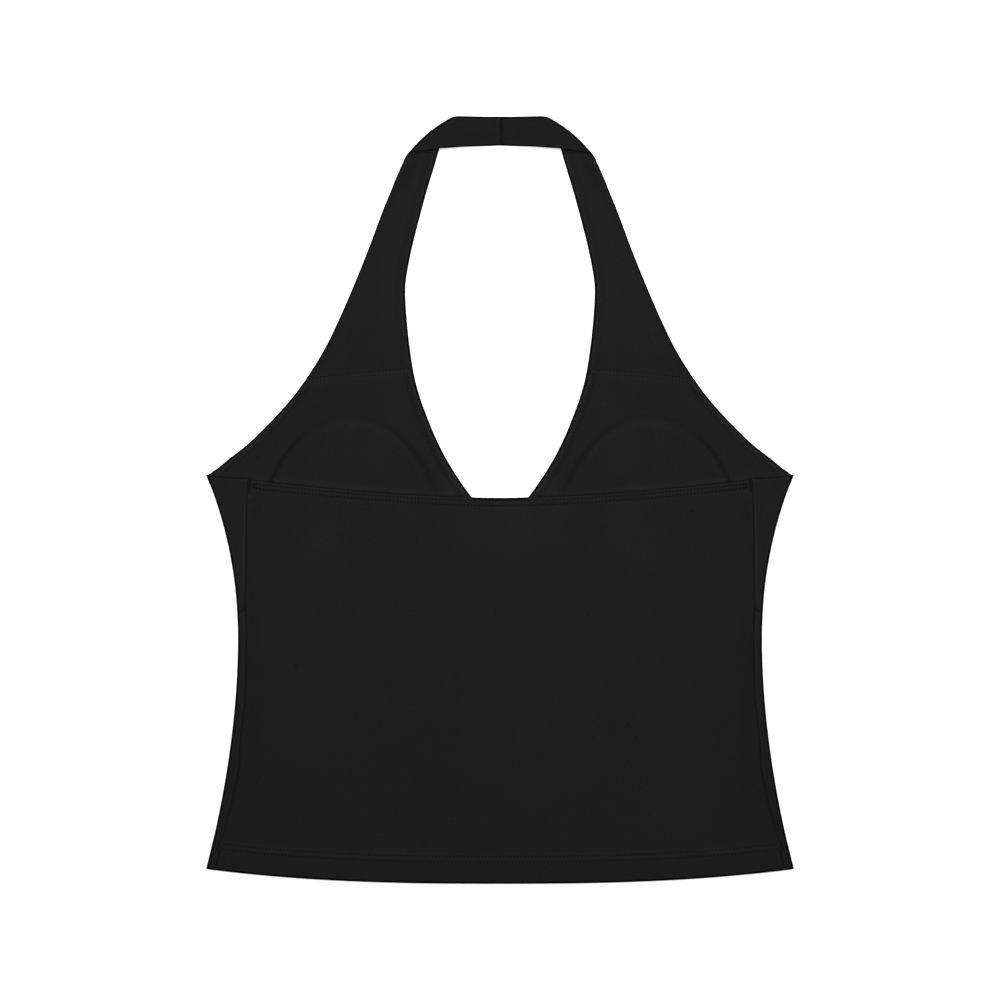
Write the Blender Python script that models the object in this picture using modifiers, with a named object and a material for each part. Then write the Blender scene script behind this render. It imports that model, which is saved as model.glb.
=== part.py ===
"""A halter neck top of black stretch knit, laid flat on its front with its back facing up.

Metres. +Z is up, +Y runs towards the neck and x = 0 is the centre line, so the origin is on the
surface under the middle of the top. Each cut piece of cloth is one object: an open sheet at the
middle of the cloth, lofted from its edges, mirrored at the centre and thickened by Solidify.

The front wraps round both sides of the body and meets the back at seams that lie behind. Its
straps run up to the neck, where each is folded over once, and their ends meet at the centre back.
"""

import math
from collections import namedtuple

import bmesh
import bpy
import numpy as np

# Driving dimensions.
TOP_LENGTH = 0.5216  # from the upper edge of the neck band to the bottom of the hem
HEM_HALF = 0.2001  # half widths of the body, folded edge to centre line
WAIST_HALF = 0.1785
UNDERARM_HALF = 0.1994
CLOTH = 0.0010  # wall of one cloth layer
GAP = 0.0003  # between pieces that meet at a seam or lie on each other

# Heights on the centre line or at the side, above the middle of the top.
NECK_TOP_Y = TOP_LENGTH / 2
HEM_Y = -TOP_LENGTH / 2
WAIST_Y = -0.0952
WAIST_TO_HEM_CURVE = 1.87
WAIST_TO_UNDERARM_CURVE = 2.1
UNDERARM_Y = 0.0160
HEM_RISE = 0.0100  # how far the hem curves up from the centre to the side
HEM_CURVE = 2.6
BACK_TOP_Y = 0.0014
BACK_TOP_RISE = 0.0125  # from the centre to the side seam
BACK_TOP_CURVE = 1.65
UNDERBUST_SIDE_Y = -0.0771
UNDERBUST_DIP = 0.0090  # the seam under the bust is lower at the centre front
UNDERBUST_BEHIND_RISE = 0.0020  # from the folded side to the side seam behind

# Layers, as heights of the middle of each cloth above the surface it lies on.
FRONT_Z = CLOTH / 2
LINING_Z = FRONT_Z + CLOTH + GAP
BACK_Z = LINING_Z + CLOTH + 2 * GAP
SIDE_FOLD_R = (BACK_Z - FRONT_Z) / 2
SIDE_FOLD_Z = (BACK_Z + FRONT_Z) / 2
SIDE_FOLD_REACH = SIDE_FOLD_R + CLOTH / 2
SIDE_FOLD_SHARE = 0.3  # of the difference in height between front and side seam, gained round the fold
BAND_FACING_Z = LINING_Z + CLOTH + GAP
SHOULDER_FOLD_Z = (LINING_Z + BAND_FACING_Z) / 2
SHOULDER_FOLD_REACH = SHOULDER_FOLD_Z - FRONT_Z + CLOTH / 2
LINING_INSET = 0.0008  # the lining and facings stop just short of the front's edge

# The neck band lies on the straps at its ends and comes down to the surface between them.
BAND_LOW_X = 0.0080
BAND_HIGH_X = 0.0320

# Each strap is folded over at the shoulder along an arc. It crosses the fold at a slant, so it also
# slips along the fold on its way round, first below and then above. Angles are in degrees.
FOLD_CENTRE = (-0.0078, 0.1816)
FOLD_RADIUS = 0.0888
FOLD_CROSSING = 2.0  # an inset from the strap's edge is this much wider along the fold
FoldEnd = namedtuple("FoldEnd", "angle slip_below slip_above")
FOLD_AT_NECKLINE = FoldEnd(61.7, 3.2, 4.8)
FOLD_AT_ARMHOLE = FoldEnd(38.3, 5.2, 2.9)

# The bust cups are foam pads between front and lining.
CUP_X = 0.1010
CUP_Y = -0.0136
CUP_HALF_WIDTH = 0.0590
CUP_ABOVE = 0.0700
CUP_BELOW = 0.0510
CUP_RIM = 0.0006
CUP_CROWN = 0.0019  # added to the rim at the middle
CUP_EXPONENT = 1.9  # of the outline, a little more pointed than an ellipse
CUP_DRAPE = 1.2  # the cloth over a cup is level again at this many cup radii

# Mesh density.
BUST_COLUMNS = 6
BUST_LOW_ROWS = 6
STRAP_ROWS = 18
FOLD_STEPS = 8
BAND_ROWS = 8
BODY_ROWS = 7
BACK_COLUMNS = 10
BACK_ROWS = 14
LINING_COLUMNS = 12
LINING_LOW_ROWS = 7
LINING_HIGH_ROWS = 7
FACING_COLUMNS = 4
FACING_ROWS = 12
CUP_SEGMENTS = 24
CUP_RINGS = 5

MERGE = 0.00005

Edge = namedtuple("Edge", "x y")

# The neckline from the centre front up to the shoulder.
NECKLINE = (
    Edge(0.0000, -0.0145),
    Edge(0.0095, -0.0095),
    Edge(0.0201, 0.0027),
    Edge(0.0362, 0.0272),
    Edge(0.0489, 0.0544),
    Edge(0.0590, 0.0870),
    Edge(0.0645, 0.1360),
    Edge(0.0619, 0.1632),
    Edge(0.0518, 0.2040),
    Edge(0.0437, 0.2312),
)

# The armhole edge from the underarm up to the shoulder.
ARMHOLE = (
    Edge(0.1974, 0.0160),
    Edge(0.1920, 0.0212),
    Edge(0.1855, 0.0272),
    Edge(0.1687, 0.0408),
    Edge(0.1428, 0.0680),
    Edge(0.1238, 0.0952),
    Edge(0.1098, 0.1224),
    Edge(0.0925, 0.1632),
    Edge(0.0769, 0.2040),
)

# The edges of the neck band from beside the shoulder to the centre back.
BAND_UPPER = (
    Edge(0.0200, NECK_TOP_Y),
    Edge(0.0000, NECK_TOP_Y),
)
BAND_LOWER = (
    Edge(0.0422, 0.2389),
    Edge(0.0340, 0.2394),
    Edge(0.0204, 0.2405),
    Edge(0.0000, 0.2414),
)

# The seam across the inside of the bust, where facing meets lining, as its height on each edge.
JOIN_NECK_Y = 0.0877
JOIN_ARM_Y = 0.0809
JOIN_BOW = 0.0011

Seam = namedtuple("Seam", "y x")

# The side seam as it lies behind, from the hem to the underarm.
SIDE_SEAM = (
    Seam(-0.2496, 0.1936),
    Seam(-0.2366, 0.1904),
    Seam(-0.2177, 0.1858),
    Seam(-0.2020, 0.1816),
    Seam(-0.1843, 0.1777),
    Seam(-0.1660, 0.1768),
    Seam(-0.1360, 0.1734),
    Seam(-0.0911, 0.1723),
    Seam(-0.0748, 0.1734),
    Seam(-0.0272, 0.1724),
    Seam(0.0143, 0.1716),
)


def catmull_rom(points, samples=24):
    """A smooth dense curve through the points, as an array of positions."""
    p = np.array(points, float)
    p = np.vstack([2 * p[0] - p[1], p, 2 * p[-1] - p[-2]])
    t = np.linspace(0, 1, samples, endpoint=False)[:, None]
    spans = []
    for a, b, c, d in zip(p, p[1:], p[2:], p[3:]):
        spans.append(
            0.5 * (2 * b + (c - a) * t + (2 * a - 5 * b + 4 * c - d) * t**2 + (3 * b - a - 3 * c + d) * t**3)
        )
    return np.vstack(spans + [p[-2:-1]])


def spaced(curve, count):
    """The points that divide a dense curve into count equal lengths."""
    along = np.concatenate([[0], np.cumsum(np.linalg.norm(np.diff(curve, axis=0), axis=1))])
    at = np.linspace(0, along[-1], count + 1)
    return np.stack([np.interp(at, along, curve[:, k]) for k in range(curve.shape[1])], axis=1)


def inset(curve, distance):
    """The curve moved sideways, to the left of its direction."""
    ahead = np.gradient(curve, axis=0)
    left = np.stack([-ahead[:, 1], ahead[:, 0]], axis=1)
    return curve + distance * left / np.linalg.norm(left, axis=1, keepdims=True)


def cut_at(curve, height):
    """The curve below a height and the curve above it."""
    i = int(np.argmax(curve[:, 1] > height))
    share = (height - curve[i - 1, 1]) / (curve[i, 1] - curve[i - 1, 1])
    middle = curve[i - 1] + share * (curve[i] - curve[i - 1])
    return np.vstack([curve[:i], middle]), np.vstack([middle, curve[i:]])


def smooth_step(t):
    t = np.clip(t, 0, 1)
    return t * t * (3 - 2 * t)


def side_half(y):
    """Half the width of the body at a height, out to its folded side edge."""
    if y < WAIST_Y:
        share = (WAIST_Y - y) / (WAIST_Y - (HEM_Y + HEM_RISE))
        return WAIST_HALF + (HEM_HALF - WAIST_HALF) * share**WAIST_TO_HEM_CURVE
    share = (y - WAIST_Y) / (UNDERARM_Y - WAIST_Y)
    return WAIST_HALF + (UNDERARM_HALF - WAIST_HALF) * min(share, 1) ** WAIST_TO_UNDERARM_CURVE


def seam_half(y):
    """How far from the centre line the side seam lies behind."""
    return float(np.interp(y, [s.y for s in SIDE_SEAM], [s.x for s in SIDE_SEAM]))


def hem_y(x):
    return HEM_Y + HEM_RISE * (abs(x) / HEM_HALF) ** HEM_CURVE


def back_top_y(x):
    return BACK_TOP_Y + BACK_TOP_RISE * (abs(x) / SIDE_SEAM[-1].x) ** BACK_TOP_CURVE


def underbust_y(x):
    return UNDERBUST_SIDE_Y - UNDERBUST_DIP * (1 - (x / WAIST_HALF) ** 2)


def cup_radius(x, y):
    """Distance from a cup's middle, as a share of its outline's."""
    across = abs(abs(x) - CUP_X) / CUP_HALF_WIDTH
    along = abs(y - CUP_Y) / (CUP_ABOVE if y > CUP_Y else CUP_BELOW)
    return (across**CUP_EXPONENT + along**CUP_EXPONENT) ** (1 / CUP_EXPONENT)


def cup_thickness(radius):
    return CUP_RIM + CUP_CROWN * (1 - min(radius, 1) ** 2)


def cup_lift(x, y):
    """How far the cloth over a cup is raised."""
    radius = cup_radius(x, y)
    fade = 1 - smooth_step((radius - 1) / (CUP_DRAPE - 1))
    return (cup_thickness(radius) + GAP) * float(fade)


def side_fold(y_front, y_behind, seam_gap):
    """Points from the tangent at the front, round the folded side, to the side seam behind."""
    points = []
    for step in range(FOLD_STEPS + 1):
        share = step / FOLD_STEPS
        angle = math.pi * share
        y = y_front + (y_behind - y_front) * SIDE_FOLD_SHARE * share
        axis = side_half(y) - SIDE_FOLD_REACH
        points.append((axis + SIDE_FOLD_R * math.sin(angle), y, SIDE_FOLD_Z - SIDE_FOLD_R * math.cos(angle)))
    points.append((seam_half(y_behind) + seam_gap, y_behind, BACK_Z))
    return np.array(points)


def flat_patch(inner, outer, columns, height, bow=None):
    """A sheet between two edges. height gives z at x and y, and bow how far a point moves up in y."""
    rows = []
    for i, (a, b) in enumerate(zip(inner, outer)):
        row = []
        for share in np.linspace(0, 1, columns + 1):
            x, y = a + (b - a) * share
            if bow:
                y += bow(i / (len(inner) - 1), share)
            row.append((x, y, height(x, y)))
        rows.append(row)
    return np.array(rows)


def shoulder_fold(columns, radius, edge_inset):
    """The strap on its way round the fold at the shoulder, a row of points for each step."""
    neck, arm = np.array(FOLD_AT_NECKLINE), np.array(FOLD_AT_ARMHOLE)
    margin = math.degrees(FOLD_CROSSING * edge_inset / FOLD_RADIUS) / (neck[0] - arm[0])
    rows = []
    for step in range(FOLD_STEPS + 1):
        angle = math.pi * step / FOLD_STEPS
        turn = 1 - 2 * step / FOLD_STEPS
        reach = FOLD_RADIUS - SHOULDER_FOLD_REACH + radius * math.sin(angle)
        row = []
        for share in np.linspace(margin, 1 - margin, columns + 1):
            at, below, above = neck + (arm - neck) * share
            bearing = math.radians(at - turn * (below if turn > 0 else above))
            x = FOLD_CENTRE[0] + reach * math.cos(bearing)
            y = FOLD_CENTRE[1] + reach * math.sin(bearing)
            row.append((x, y, SHOULDER_FOLD_Z - radius * math.cos(angle)))
        rows.append(row)
    return np.array(rows)


def neck_band(start, low_z, edge_inset):
    """Half of the neck band, from the last row of the shoulder fold to the centre back."""
    upper = catmull_rom([start[0][:2]] + [(x, y - edge_inset) for x, y in BAND_UPPER])
    lower = catmull_rom([start[-1][:2]] + [(x, y + edge_inset) for x, y in BAND_LOWER])
    lift = start[0][2] - low_z

    def height(x, y):
        return low_z + lift * float(smooth_step((x - BAND_LOW_X) / (BAND_HIGH_X - BAND_LOW_X)))

    band = flat_patch(spaced(upper, BAND_ROWS), spaced(lower, BAND_ROWS), len(start) - 1, height)
    band[0] = start
    band[-1, :, 0] = GAP / 2
    return band


def sheet_mesh(name, patches, side=1):
    """One mesh from patches of points that share borders. side is -1 for a mirrored piece."""
    mesh = bmesh.new()
    for patch in patches:
        verts = [[mesh.verts.new((side * x, y, z)) for x, y, z in row] for row in patch]
        for lower, upper in zip(verts, verts[1:]):
            for a, b, c, d in zip(lower, lower[1:], upper[1:], upper):
                mesh.faces.new((a, b, c, d))
    bmesh.ops.remove_doubles(mesh, verts=mesh.verts, dist=MERGE)
    bmesh.ops.recalc_face_normals(mesh, faces=mesh.faces)
    data = bpy.data.meshes.new(name)
    mesh.to_mesh(data)
    mesh.free()
    data.shade_smooth()
    return data


def cloth_piece(name, patches, material, collection, mirrored, side=1):
    """A cut piece of cloth: its open sheet, mirrored at the centre if it is whole, with a wall."""
    piece = bpy.data.objects.new(name, sheet_mesh(name, patches, side))
    collection.objects.link(piece)
    piece.data.materials.append(material)
    if mirrored:
        mirror = piece.modifiers.new("Mirror", "MIRROR")
        mirror.use_axis = (True, False, False)
        mirror.merge_threshold = MERGE
    wall = piece.modifiers.new("Wall", "SOLIDIFY")
    wall.thickness = CLOTH
    wall.offset = 0
    wall.use_even_offset = True
    return piece


def cup_piece(name, side, material, collection):
    """A foam bust pad: flat below, crowned above, with a thin rim."""
    mesh = bmesh.new()
    base_z = FRONT_Z + CLOTH / 2 + GAP
    angles = [2 * math.pi * k / CUP_SEGMENTS for k in range(CUP_SEGMENTS)]

    def ring(share, top):
        verts = []
        for angle in angles:
            c, s = math.cos(angle), math.sin(angle)
            reach = (abs(c) ** CUP_EXPONENT + abs(s) ** CUP_EXPONENT) ** (-1 / CUP_EXPONENT)
            x = CUP_X + CUP_HALF_WIDTH * share * reach * c
            y = CUP_Y + (CUP_ABOVE if s > 0 else CUP_BELOW) * share * reach * s
            z = base_z + (cup_thickness(share) if top else 0)
            verts.append(mesh.verts.new((side * x, y, z)))
        return verts

    def join(first, second):
        for k in range(CUP_SEGMENTS):
            n = (k + 1) % CUP_SEGMENTS
            mesh.faces.new((first[k], first[n], second[n], second[k]))

    below = ring(1, top=False)
    rings = [ring(1 - step / CUP_RINGS, top=True) for step in range(CUP_RINGS)]
    crown = mesh.verts.new((side * CUP_X, CUP_Y, base_z + cup_thickness(0)))
    mesh.faces.new(below)
    join(below, rings[0])
    for outer, inner in zip(rings, rings[1:]):
        join(outer, inner)
    for k in range(CUP_SEGMENTS):
        mesh.faces.new((rings[-1][k], rings[-1][(k + 1) % CUP_SEGMENTS], crown))
    bmesh.ops.recalc_face_normals(mesh, faces=mesh.faces)
    data = bpy.data.meshes.new(name)
    mesh.to_mesh(data)
    mesh.free()
    data.shade_smooth()
    piece = bpy.data.objects.new(name, data)
    collection.objects.link(piece)
    piece.data.materials.append(material)
    return piece


def level(z):
    """A height function for cloth that lies flat at z."""
    return lambda x, y: z


def strap_edges(shoulder):
    """The whole neckline and armhole edge, as far as the first row of a shoulder fold."""
    return catmull_rom([*NECKLINE, shoulder[0][0][:2]]), catmull_rom([*ARMHOLE, shoulder[0][-1][:2]])


def front_bust_patches():
    """The upper front: bust, straps, the stretches that wrap behind, and both halves of the neck band."""
    shoulder = shoulder_fold(BUST_COLUMNS, SHOULDER_FOLD_Z - FRONT_Z, 0)
    neck, arm = (spaced(curve, STRAP_ROWS) for curve in strap_edges(shoulder))
    shares = np.linspace(0, 1, BUST_LOW_ROWS + 1)
    bottom = underbust_y(0) + GAP / 2
    inner = [(0, bottom + (NECKLINE[0].y - bottom) * s) for s in shares]
    side_y = UNDERBUST_SIDE_Y + GAP / 2 + (UNDERARM_Y - UNDERBUST_SIDE_Y - GAP / 2) * shares
    outer = [(side_half(y) - SIDE_FOLD_REACH, y) for y in side_y]
    low = flat_patch(np.array(inner), np.array(outer), BUST_COLUMNS, level(FRONT_Z), bow=follow_underbust)
    arm[0] = outer[-1]
    high = flat_patch(neck, arm, BUST_COLUMNS, level(FRONT_Z))
    high[-1] = shoulder[0]
    behind_low = UNDERBUST_SIDE_Y + UNDERBUST_BEHIND_RISE + GAP / 2
    behind = behind_low + (SIDE_SEAM[-1].y - behind_low) * shares
    wrap = np.array([side_fold(a, b, GAP / 2) for a, b in zip(side_y, behind)])
    return [low, high, shoulder, neck_band(shoulder[-1], LINING_Z, 0), wrap]


def follow_underbust(row_share, column_share):
    """Bends the lowest rows of the bust to the curve of the seam below it."""
    straight = UNDERBUST_DIP * column_share
    curved = UNDERBUST_DIP * column_share**2
    return (curved - straight) * (1 - row_share)


def front_body_patches():
    """The lower front, from the seam under the bust to the hem, with the stretches that wrap behind."""
    rows = []
    for share in np.linspace(0, 1, BODY_ROWS + 1):
        side_low, side_high = hem_y(HEM_HALF), UNDERBUST_SIDE_Y - GAP / 2
        side_y = side_low + (side_high - side_low) * share
        edge = side_half(side_y) - SIDE_FOLD_REACH
        row = []
        for column in np.linspace(0, 1, BUST_COLUMNS, endpoint=False):
            x = edge * column
            low, high = hem_y(x), underbust_y(x) - GAP / 2
            row.append((x, low + (high - low) * share, FRONT_Z))
        behind_low = hem_y(seam_half(side_low))
        behind_high = side_high + UNDERBUST_BEHIND_RISE
        behind = behind_low + (behind_high - behind_low) * share
        rows.append(row + list(side_fold(side_y, behind, GAP / 2)))
    return [np.array([[tuple(p) for p in row] for row in rows])]


def back_patches():
    """The back, from side seam to side seam, raised where the cups lie under it."""
    rows = []
    for share in np.linspace(0, 1, BACK_ROWS + 1):
        low, high = SIDE_SEAM[0].y, SIDE_SEAM[-1].y
        edge = seam_half(low + (high - low) * share) - GAP / 2
        row = []
        for column in np.linspace(0, 1, BACK_COLUMNS + 1):
            x = edge * column
            y = hem_y(x) + (back_top_y(x) - hem_y(x)) * share
            row.append((x, y, BACK_Z + cup_lift(x, y)))
        rows.append(row)
    return [np.array(rows)]


def lining_height(x, y):
    return LINING_Z + cup_lift(x, y)


def lining_edges(shoulder):
    """The neckline and armhole edges of the lining and facings, cut where the two meet."""
    neck, arm = strap_edges(shoulder)
    neck, arm = inset(neck, -LINING_INSET), inset(arm, LINING_INSET)
    return cut_at(neck, JOIN_NECK_Y), cut_at(arm, JOIN_ARM_Y)


def lining_patches():
    """The bust lining, from the seam under the bust up to the facings."""
    (neck, _), (arm, _) = lining_edges(shoulder_fold(BUST_COLUMNS, SHOULDER_FOLD_Z - FRONT_Z, 0))
    neck = spaced(neck, LINING_HIGH_ROWS)
    arm = spaced(arm, LINING_HIGH_ROWS)
    neck[0, 0] = 0
    side_x = SIDE_FOLD_REACH + LINING_INSET
    bottom = underbust_y(0) + GAP
    shares = np.linspace(0, 1, LINING_LOW_ROWS + 1)
    inner = [(0, bottom + (neck[0, 1] - bottom) * s) for s in shares]
    outer = []
    for s in shares:
        y = UNDERBUST_SIDE_Y + GAP + (arm[0, 1] - UNDERBUST_SIDE_Y - GAP) * s
        outer.append((side_half(y) - side_x, y))
    arm[0] = outer[-1]
    low = flat_patch(np.array(inner), np.array(outer), LINING_COLUMNS, lining_height, bow=follow_underbust)
    high = flat_patch(
        neck,
        arm,
        LINING_COLUMNS,
        lining_height,
        bow=lambda row, column: JOIN_BOW * row * 4 * column * (1 - column),
    )
    return [low, high]


def facing_patches():
    """A strap's facing, from the lining up, round the shoulder fold and under the neck band."""
    (_, neck), (_, arm) = lining_edges(shoulder_fold(BUST_COLUMNS, SHOULDER_FOLD_Z - FRONT_Z, 0))
    neck = spaced(neck, FACING_ROWS)
    arm = spaced(arm, FACING_ROWS)
    neck[0, 1] += GAP
    arm[0, 1] += GAP
    shoulder = shoulder_fold(FACING_COLUMNS, SHOULDER_FOLD_Z - LINING_Z, LINING_INSET)
    strap = flat_patch(
        neck,
        arm,
        FACING_COLUMNS,
        level(LINING_Z),
        bow=lambda row, column: JOIN_BOW * (1 - row) * 4 * column * (1 - column),
    )
    strap[-1] = shoulder[0]
    return [strap, shoulder, neck_band(shoulder[-1], FRONT_Z, LINING_INSET)]


def cloth_material(name, colour, roughness):
    material = bpy.data.materials.new(name)
    material.use_nodes = True
    shader = material.node_tree.nodes["Principled BSDF"]
    shader.inputs["Base Color"].default_value = (*colour, 1)
    shader.inputs["Roughness"].default_value = roughness
    shader.inputs["Metallic"].default_value = 0
    return material


def main():
    for old in list(bpy.data.objects):
        bpy.data.objects.remove(old)
    top = bpy.data.collections.new("halter_top")
    bpy.context.scene.collection.children.link(top)
    knit = cloth_material("black_knit", (0.0137, 0.0137, 0.0137), 0.85)
    lining = cloth_material("black_lining", (0.0145, 0.0145, 0.0145), 0.80)
    foam = cloth_material("cup_foam", (0.0160, 0.0160, 0.0160), 0.90)

    cloth_piece("front_bust", front_bust_patches(), knit, top, mirrored=True)
    cloth_piece("front_body", front_body_patches(), knit, top, mirrored=True)
    cloth_piece("back_panel", back_patches(), knit, top, mirrored=True)
    cloth_piece("bust_lining", lining_patches(), lining, top, mirrored=True)
    for name, side in (("left", -1), ("right", 1)):
        cloth_piece(f"strap_facing_{name}", facing_patches(), lining, top, mirrored=False, side=side)
        cup_piece(f"cup_{name}", side, foam, top)


main()
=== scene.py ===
import logging
import math
from dataclasses import dataclass, field
from enum import Enum
from typing import Callable

import bmesh
import bpy
import numpy as np
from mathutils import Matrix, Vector


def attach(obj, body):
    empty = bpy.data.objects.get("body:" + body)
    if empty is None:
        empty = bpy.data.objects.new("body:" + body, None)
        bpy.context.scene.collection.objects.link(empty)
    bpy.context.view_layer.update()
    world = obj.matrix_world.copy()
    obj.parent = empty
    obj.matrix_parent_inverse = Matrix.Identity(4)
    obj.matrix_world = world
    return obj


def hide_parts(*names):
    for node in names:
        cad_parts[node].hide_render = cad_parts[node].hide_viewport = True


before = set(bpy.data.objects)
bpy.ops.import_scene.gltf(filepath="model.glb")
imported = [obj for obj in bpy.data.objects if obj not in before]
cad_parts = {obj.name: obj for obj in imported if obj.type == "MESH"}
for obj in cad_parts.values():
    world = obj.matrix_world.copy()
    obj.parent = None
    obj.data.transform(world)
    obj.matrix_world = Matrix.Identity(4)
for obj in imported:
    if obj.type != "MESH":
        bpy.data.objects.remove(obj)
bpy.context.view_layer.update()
log = logging.getLogger("halter_neck_top")

MM = 0.001
STITCH_PITCH = 0.0024


class Side(Enum):
    """The two halves of the top, as the sign of x."""

    LEFT = -1
    RIGHT = 1


class Facing(Enum):
    """Which way a piece's visible face looks where it lies flat, as the sign of z."""

    DOWN = -1
    UP = 1


def catmull_rom(points: list, samples: int = 24) -> np.ndarray:
    """Draws a smooth dense curve through the points.

    Args:
        points: Positions of two or three numbers each.
        samples: Steps between one point and the next.

    Returns:
        The curve as an array of positions.
    """
    p = np.array(points, float)
    p = np.vstack([2 * p[0] - p[1], p, 2 * p[-1] - p[-2]])
    t = np.linspace(0, 1, samples, endpoint=False)[:, None]
    spans = []
    for a, b, c, d in zip(p, p[1:], p[2:], p[3:]):
        cubic = (3 * b - a - 3 * c + d) * t**3
        spans.append(0.5 * (2 * b + (c - a) * t + (2 * a - 5 * b + 4 * c - d) * t**2 + cubic))
    return np.vstack(spans + [p[-2:-1]])


def sampled(curve: np.ndarray, shares: np.ndarray) -> np.ndarray:
    """Finds the points of a curve at shares of its length, from 0 to 1.

    Args:
        curve: A dense polyline.
        shares: Where along it, in rising order.

    Returns:
        One position for each share.
    """
    along = np.concatenate([[0], np.cumsum(np.linalg.norm(np.diff(curve, axis=0), axis=1))])
    at = np.asarray(shares) * along[-1]
    return np.stack([np.interp(at, along, curve[:, k]) for k in range(curve.shape[1])], axis=1)


def inset(curve: np.ndarray, distance: float) -> np.ndarray:
    """Moves a curve sideways in plan, to the left of its direction.

    Args:
        curve: A dense polyline in x and y.
        distance: How far it moves, in metres.

    Returns:
        The moved curve.
    """
    ahead = np.gradient(curve, axis=0)
    left = np.stack([-ahead[:, 1], ahead[:, 0]], axis=1)
    return curve + distance * left / np.linalg.norm(left, axis=1, keepdims=True)


def cut_at(curve: np.ndarray, height: float) -> tuple[np.ndarray, np.ndarray]:
    """Cuts a rising curve where it passes a height.

    Args:
        curve: A dense polyline in x and y.
        height: The y to cut at.

    Returns:
        The curve below the height and the curve above it.
    """
    i = int(np.argmax(curve[:, 1] > height))
    share = (height - curve[i - 1, 1]) / (curve[i, 1] - curve[i - 1, 1])
    middle = curve[i - 1] + share * (curve[i] - curve[i - 1])
    return np.vstack([curve[:i], middle]), np.vstack([middle, curve[i:]])


def smooth_step(t: np.ndarray) -> np.ndarray:
    """Rises smoothly from 0 to 1 as t does."""
    t = np.clip(t, 0, 1)
    return t * t * (3 - 2 * t)


def crowded(count: int, ends: float) -> np.ndarray:
    """Shares from 0 to 1 that lie closer together towards both ends.

    Args:
        count: The number of steps.
        ends: How much they crowd, from 0 for even to 1.

    Returns:
        count + 1 rising shares.
    """
    even = np.linspace(0, 1, count + 1)
    return (1 - ends) * even + ends * smooth_step(even)


def between(inner: np.ndarray, outer: np.ndarray, shares: np.ndarray) -> np.ndarray:
    """Rows of points from one edge to another.

    Args:
        inner: Positions along one edge.
        outer: As many positions along the other.
        shares: Where in each row its points lie, from 0 to 1.

    Returns:
        An array of rows of positions.
    """
    return inner[:, None, :] + (outer - inner)[:, None, :] * np.asarray(shares)[None, :, None]


def raised(plan: np.ndarray, height: np.ndarray) -> np.ndarray:
    """Gives rows of x and y their height, as one array of positions."""
    return np.dstack([plan, np.broadcast_to(height, plan.shape[:2])])


def mirrored(patch: np.ndarray, side: Side) -> np.ndarray:
    """The patch on the given side of the centre line."""
    return patch * np.array([side.value, 1, 1])


def nearest_on(path: np.ndarray, points: np.ndarray) -> tuple[np.ndarray, np.ndarray]:
    """Finds how far points are from a polyline.

    Args:
        path: Its corners.
        points: The points to measure.

    Returns:
        Each point's distance to it, and how far along it the nearest place is, in metres.
    """
    a, step = path[:-1], np.diff(path, axis=0)
    size = np.linalg.norm(step, axis=1)
    start = np.concatenate([[0], np.cumsum(size)[:-1]])
    distance, along = np.empty(len(points)), np.empty(len(points))
    for low in range(0, len(points), 2000):
        p = points[low : low + 2000, None, :]
        t = np.clip(((p - a) * step).sum(axis=2) / np.maximum(size**2, 1e-12), 0, 1)
        gap = np.linalg.norm(p - a - t[..., None] * step, axis=2)
        best = gap.argmin(axis=1)
        rows = np.arange(len(best))
        distance[low : low + 2000] = gap[rows, best]
        along[low : low + 2000] = start[best] + t[rows, best] * size[best]
    return distance, along


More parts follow.
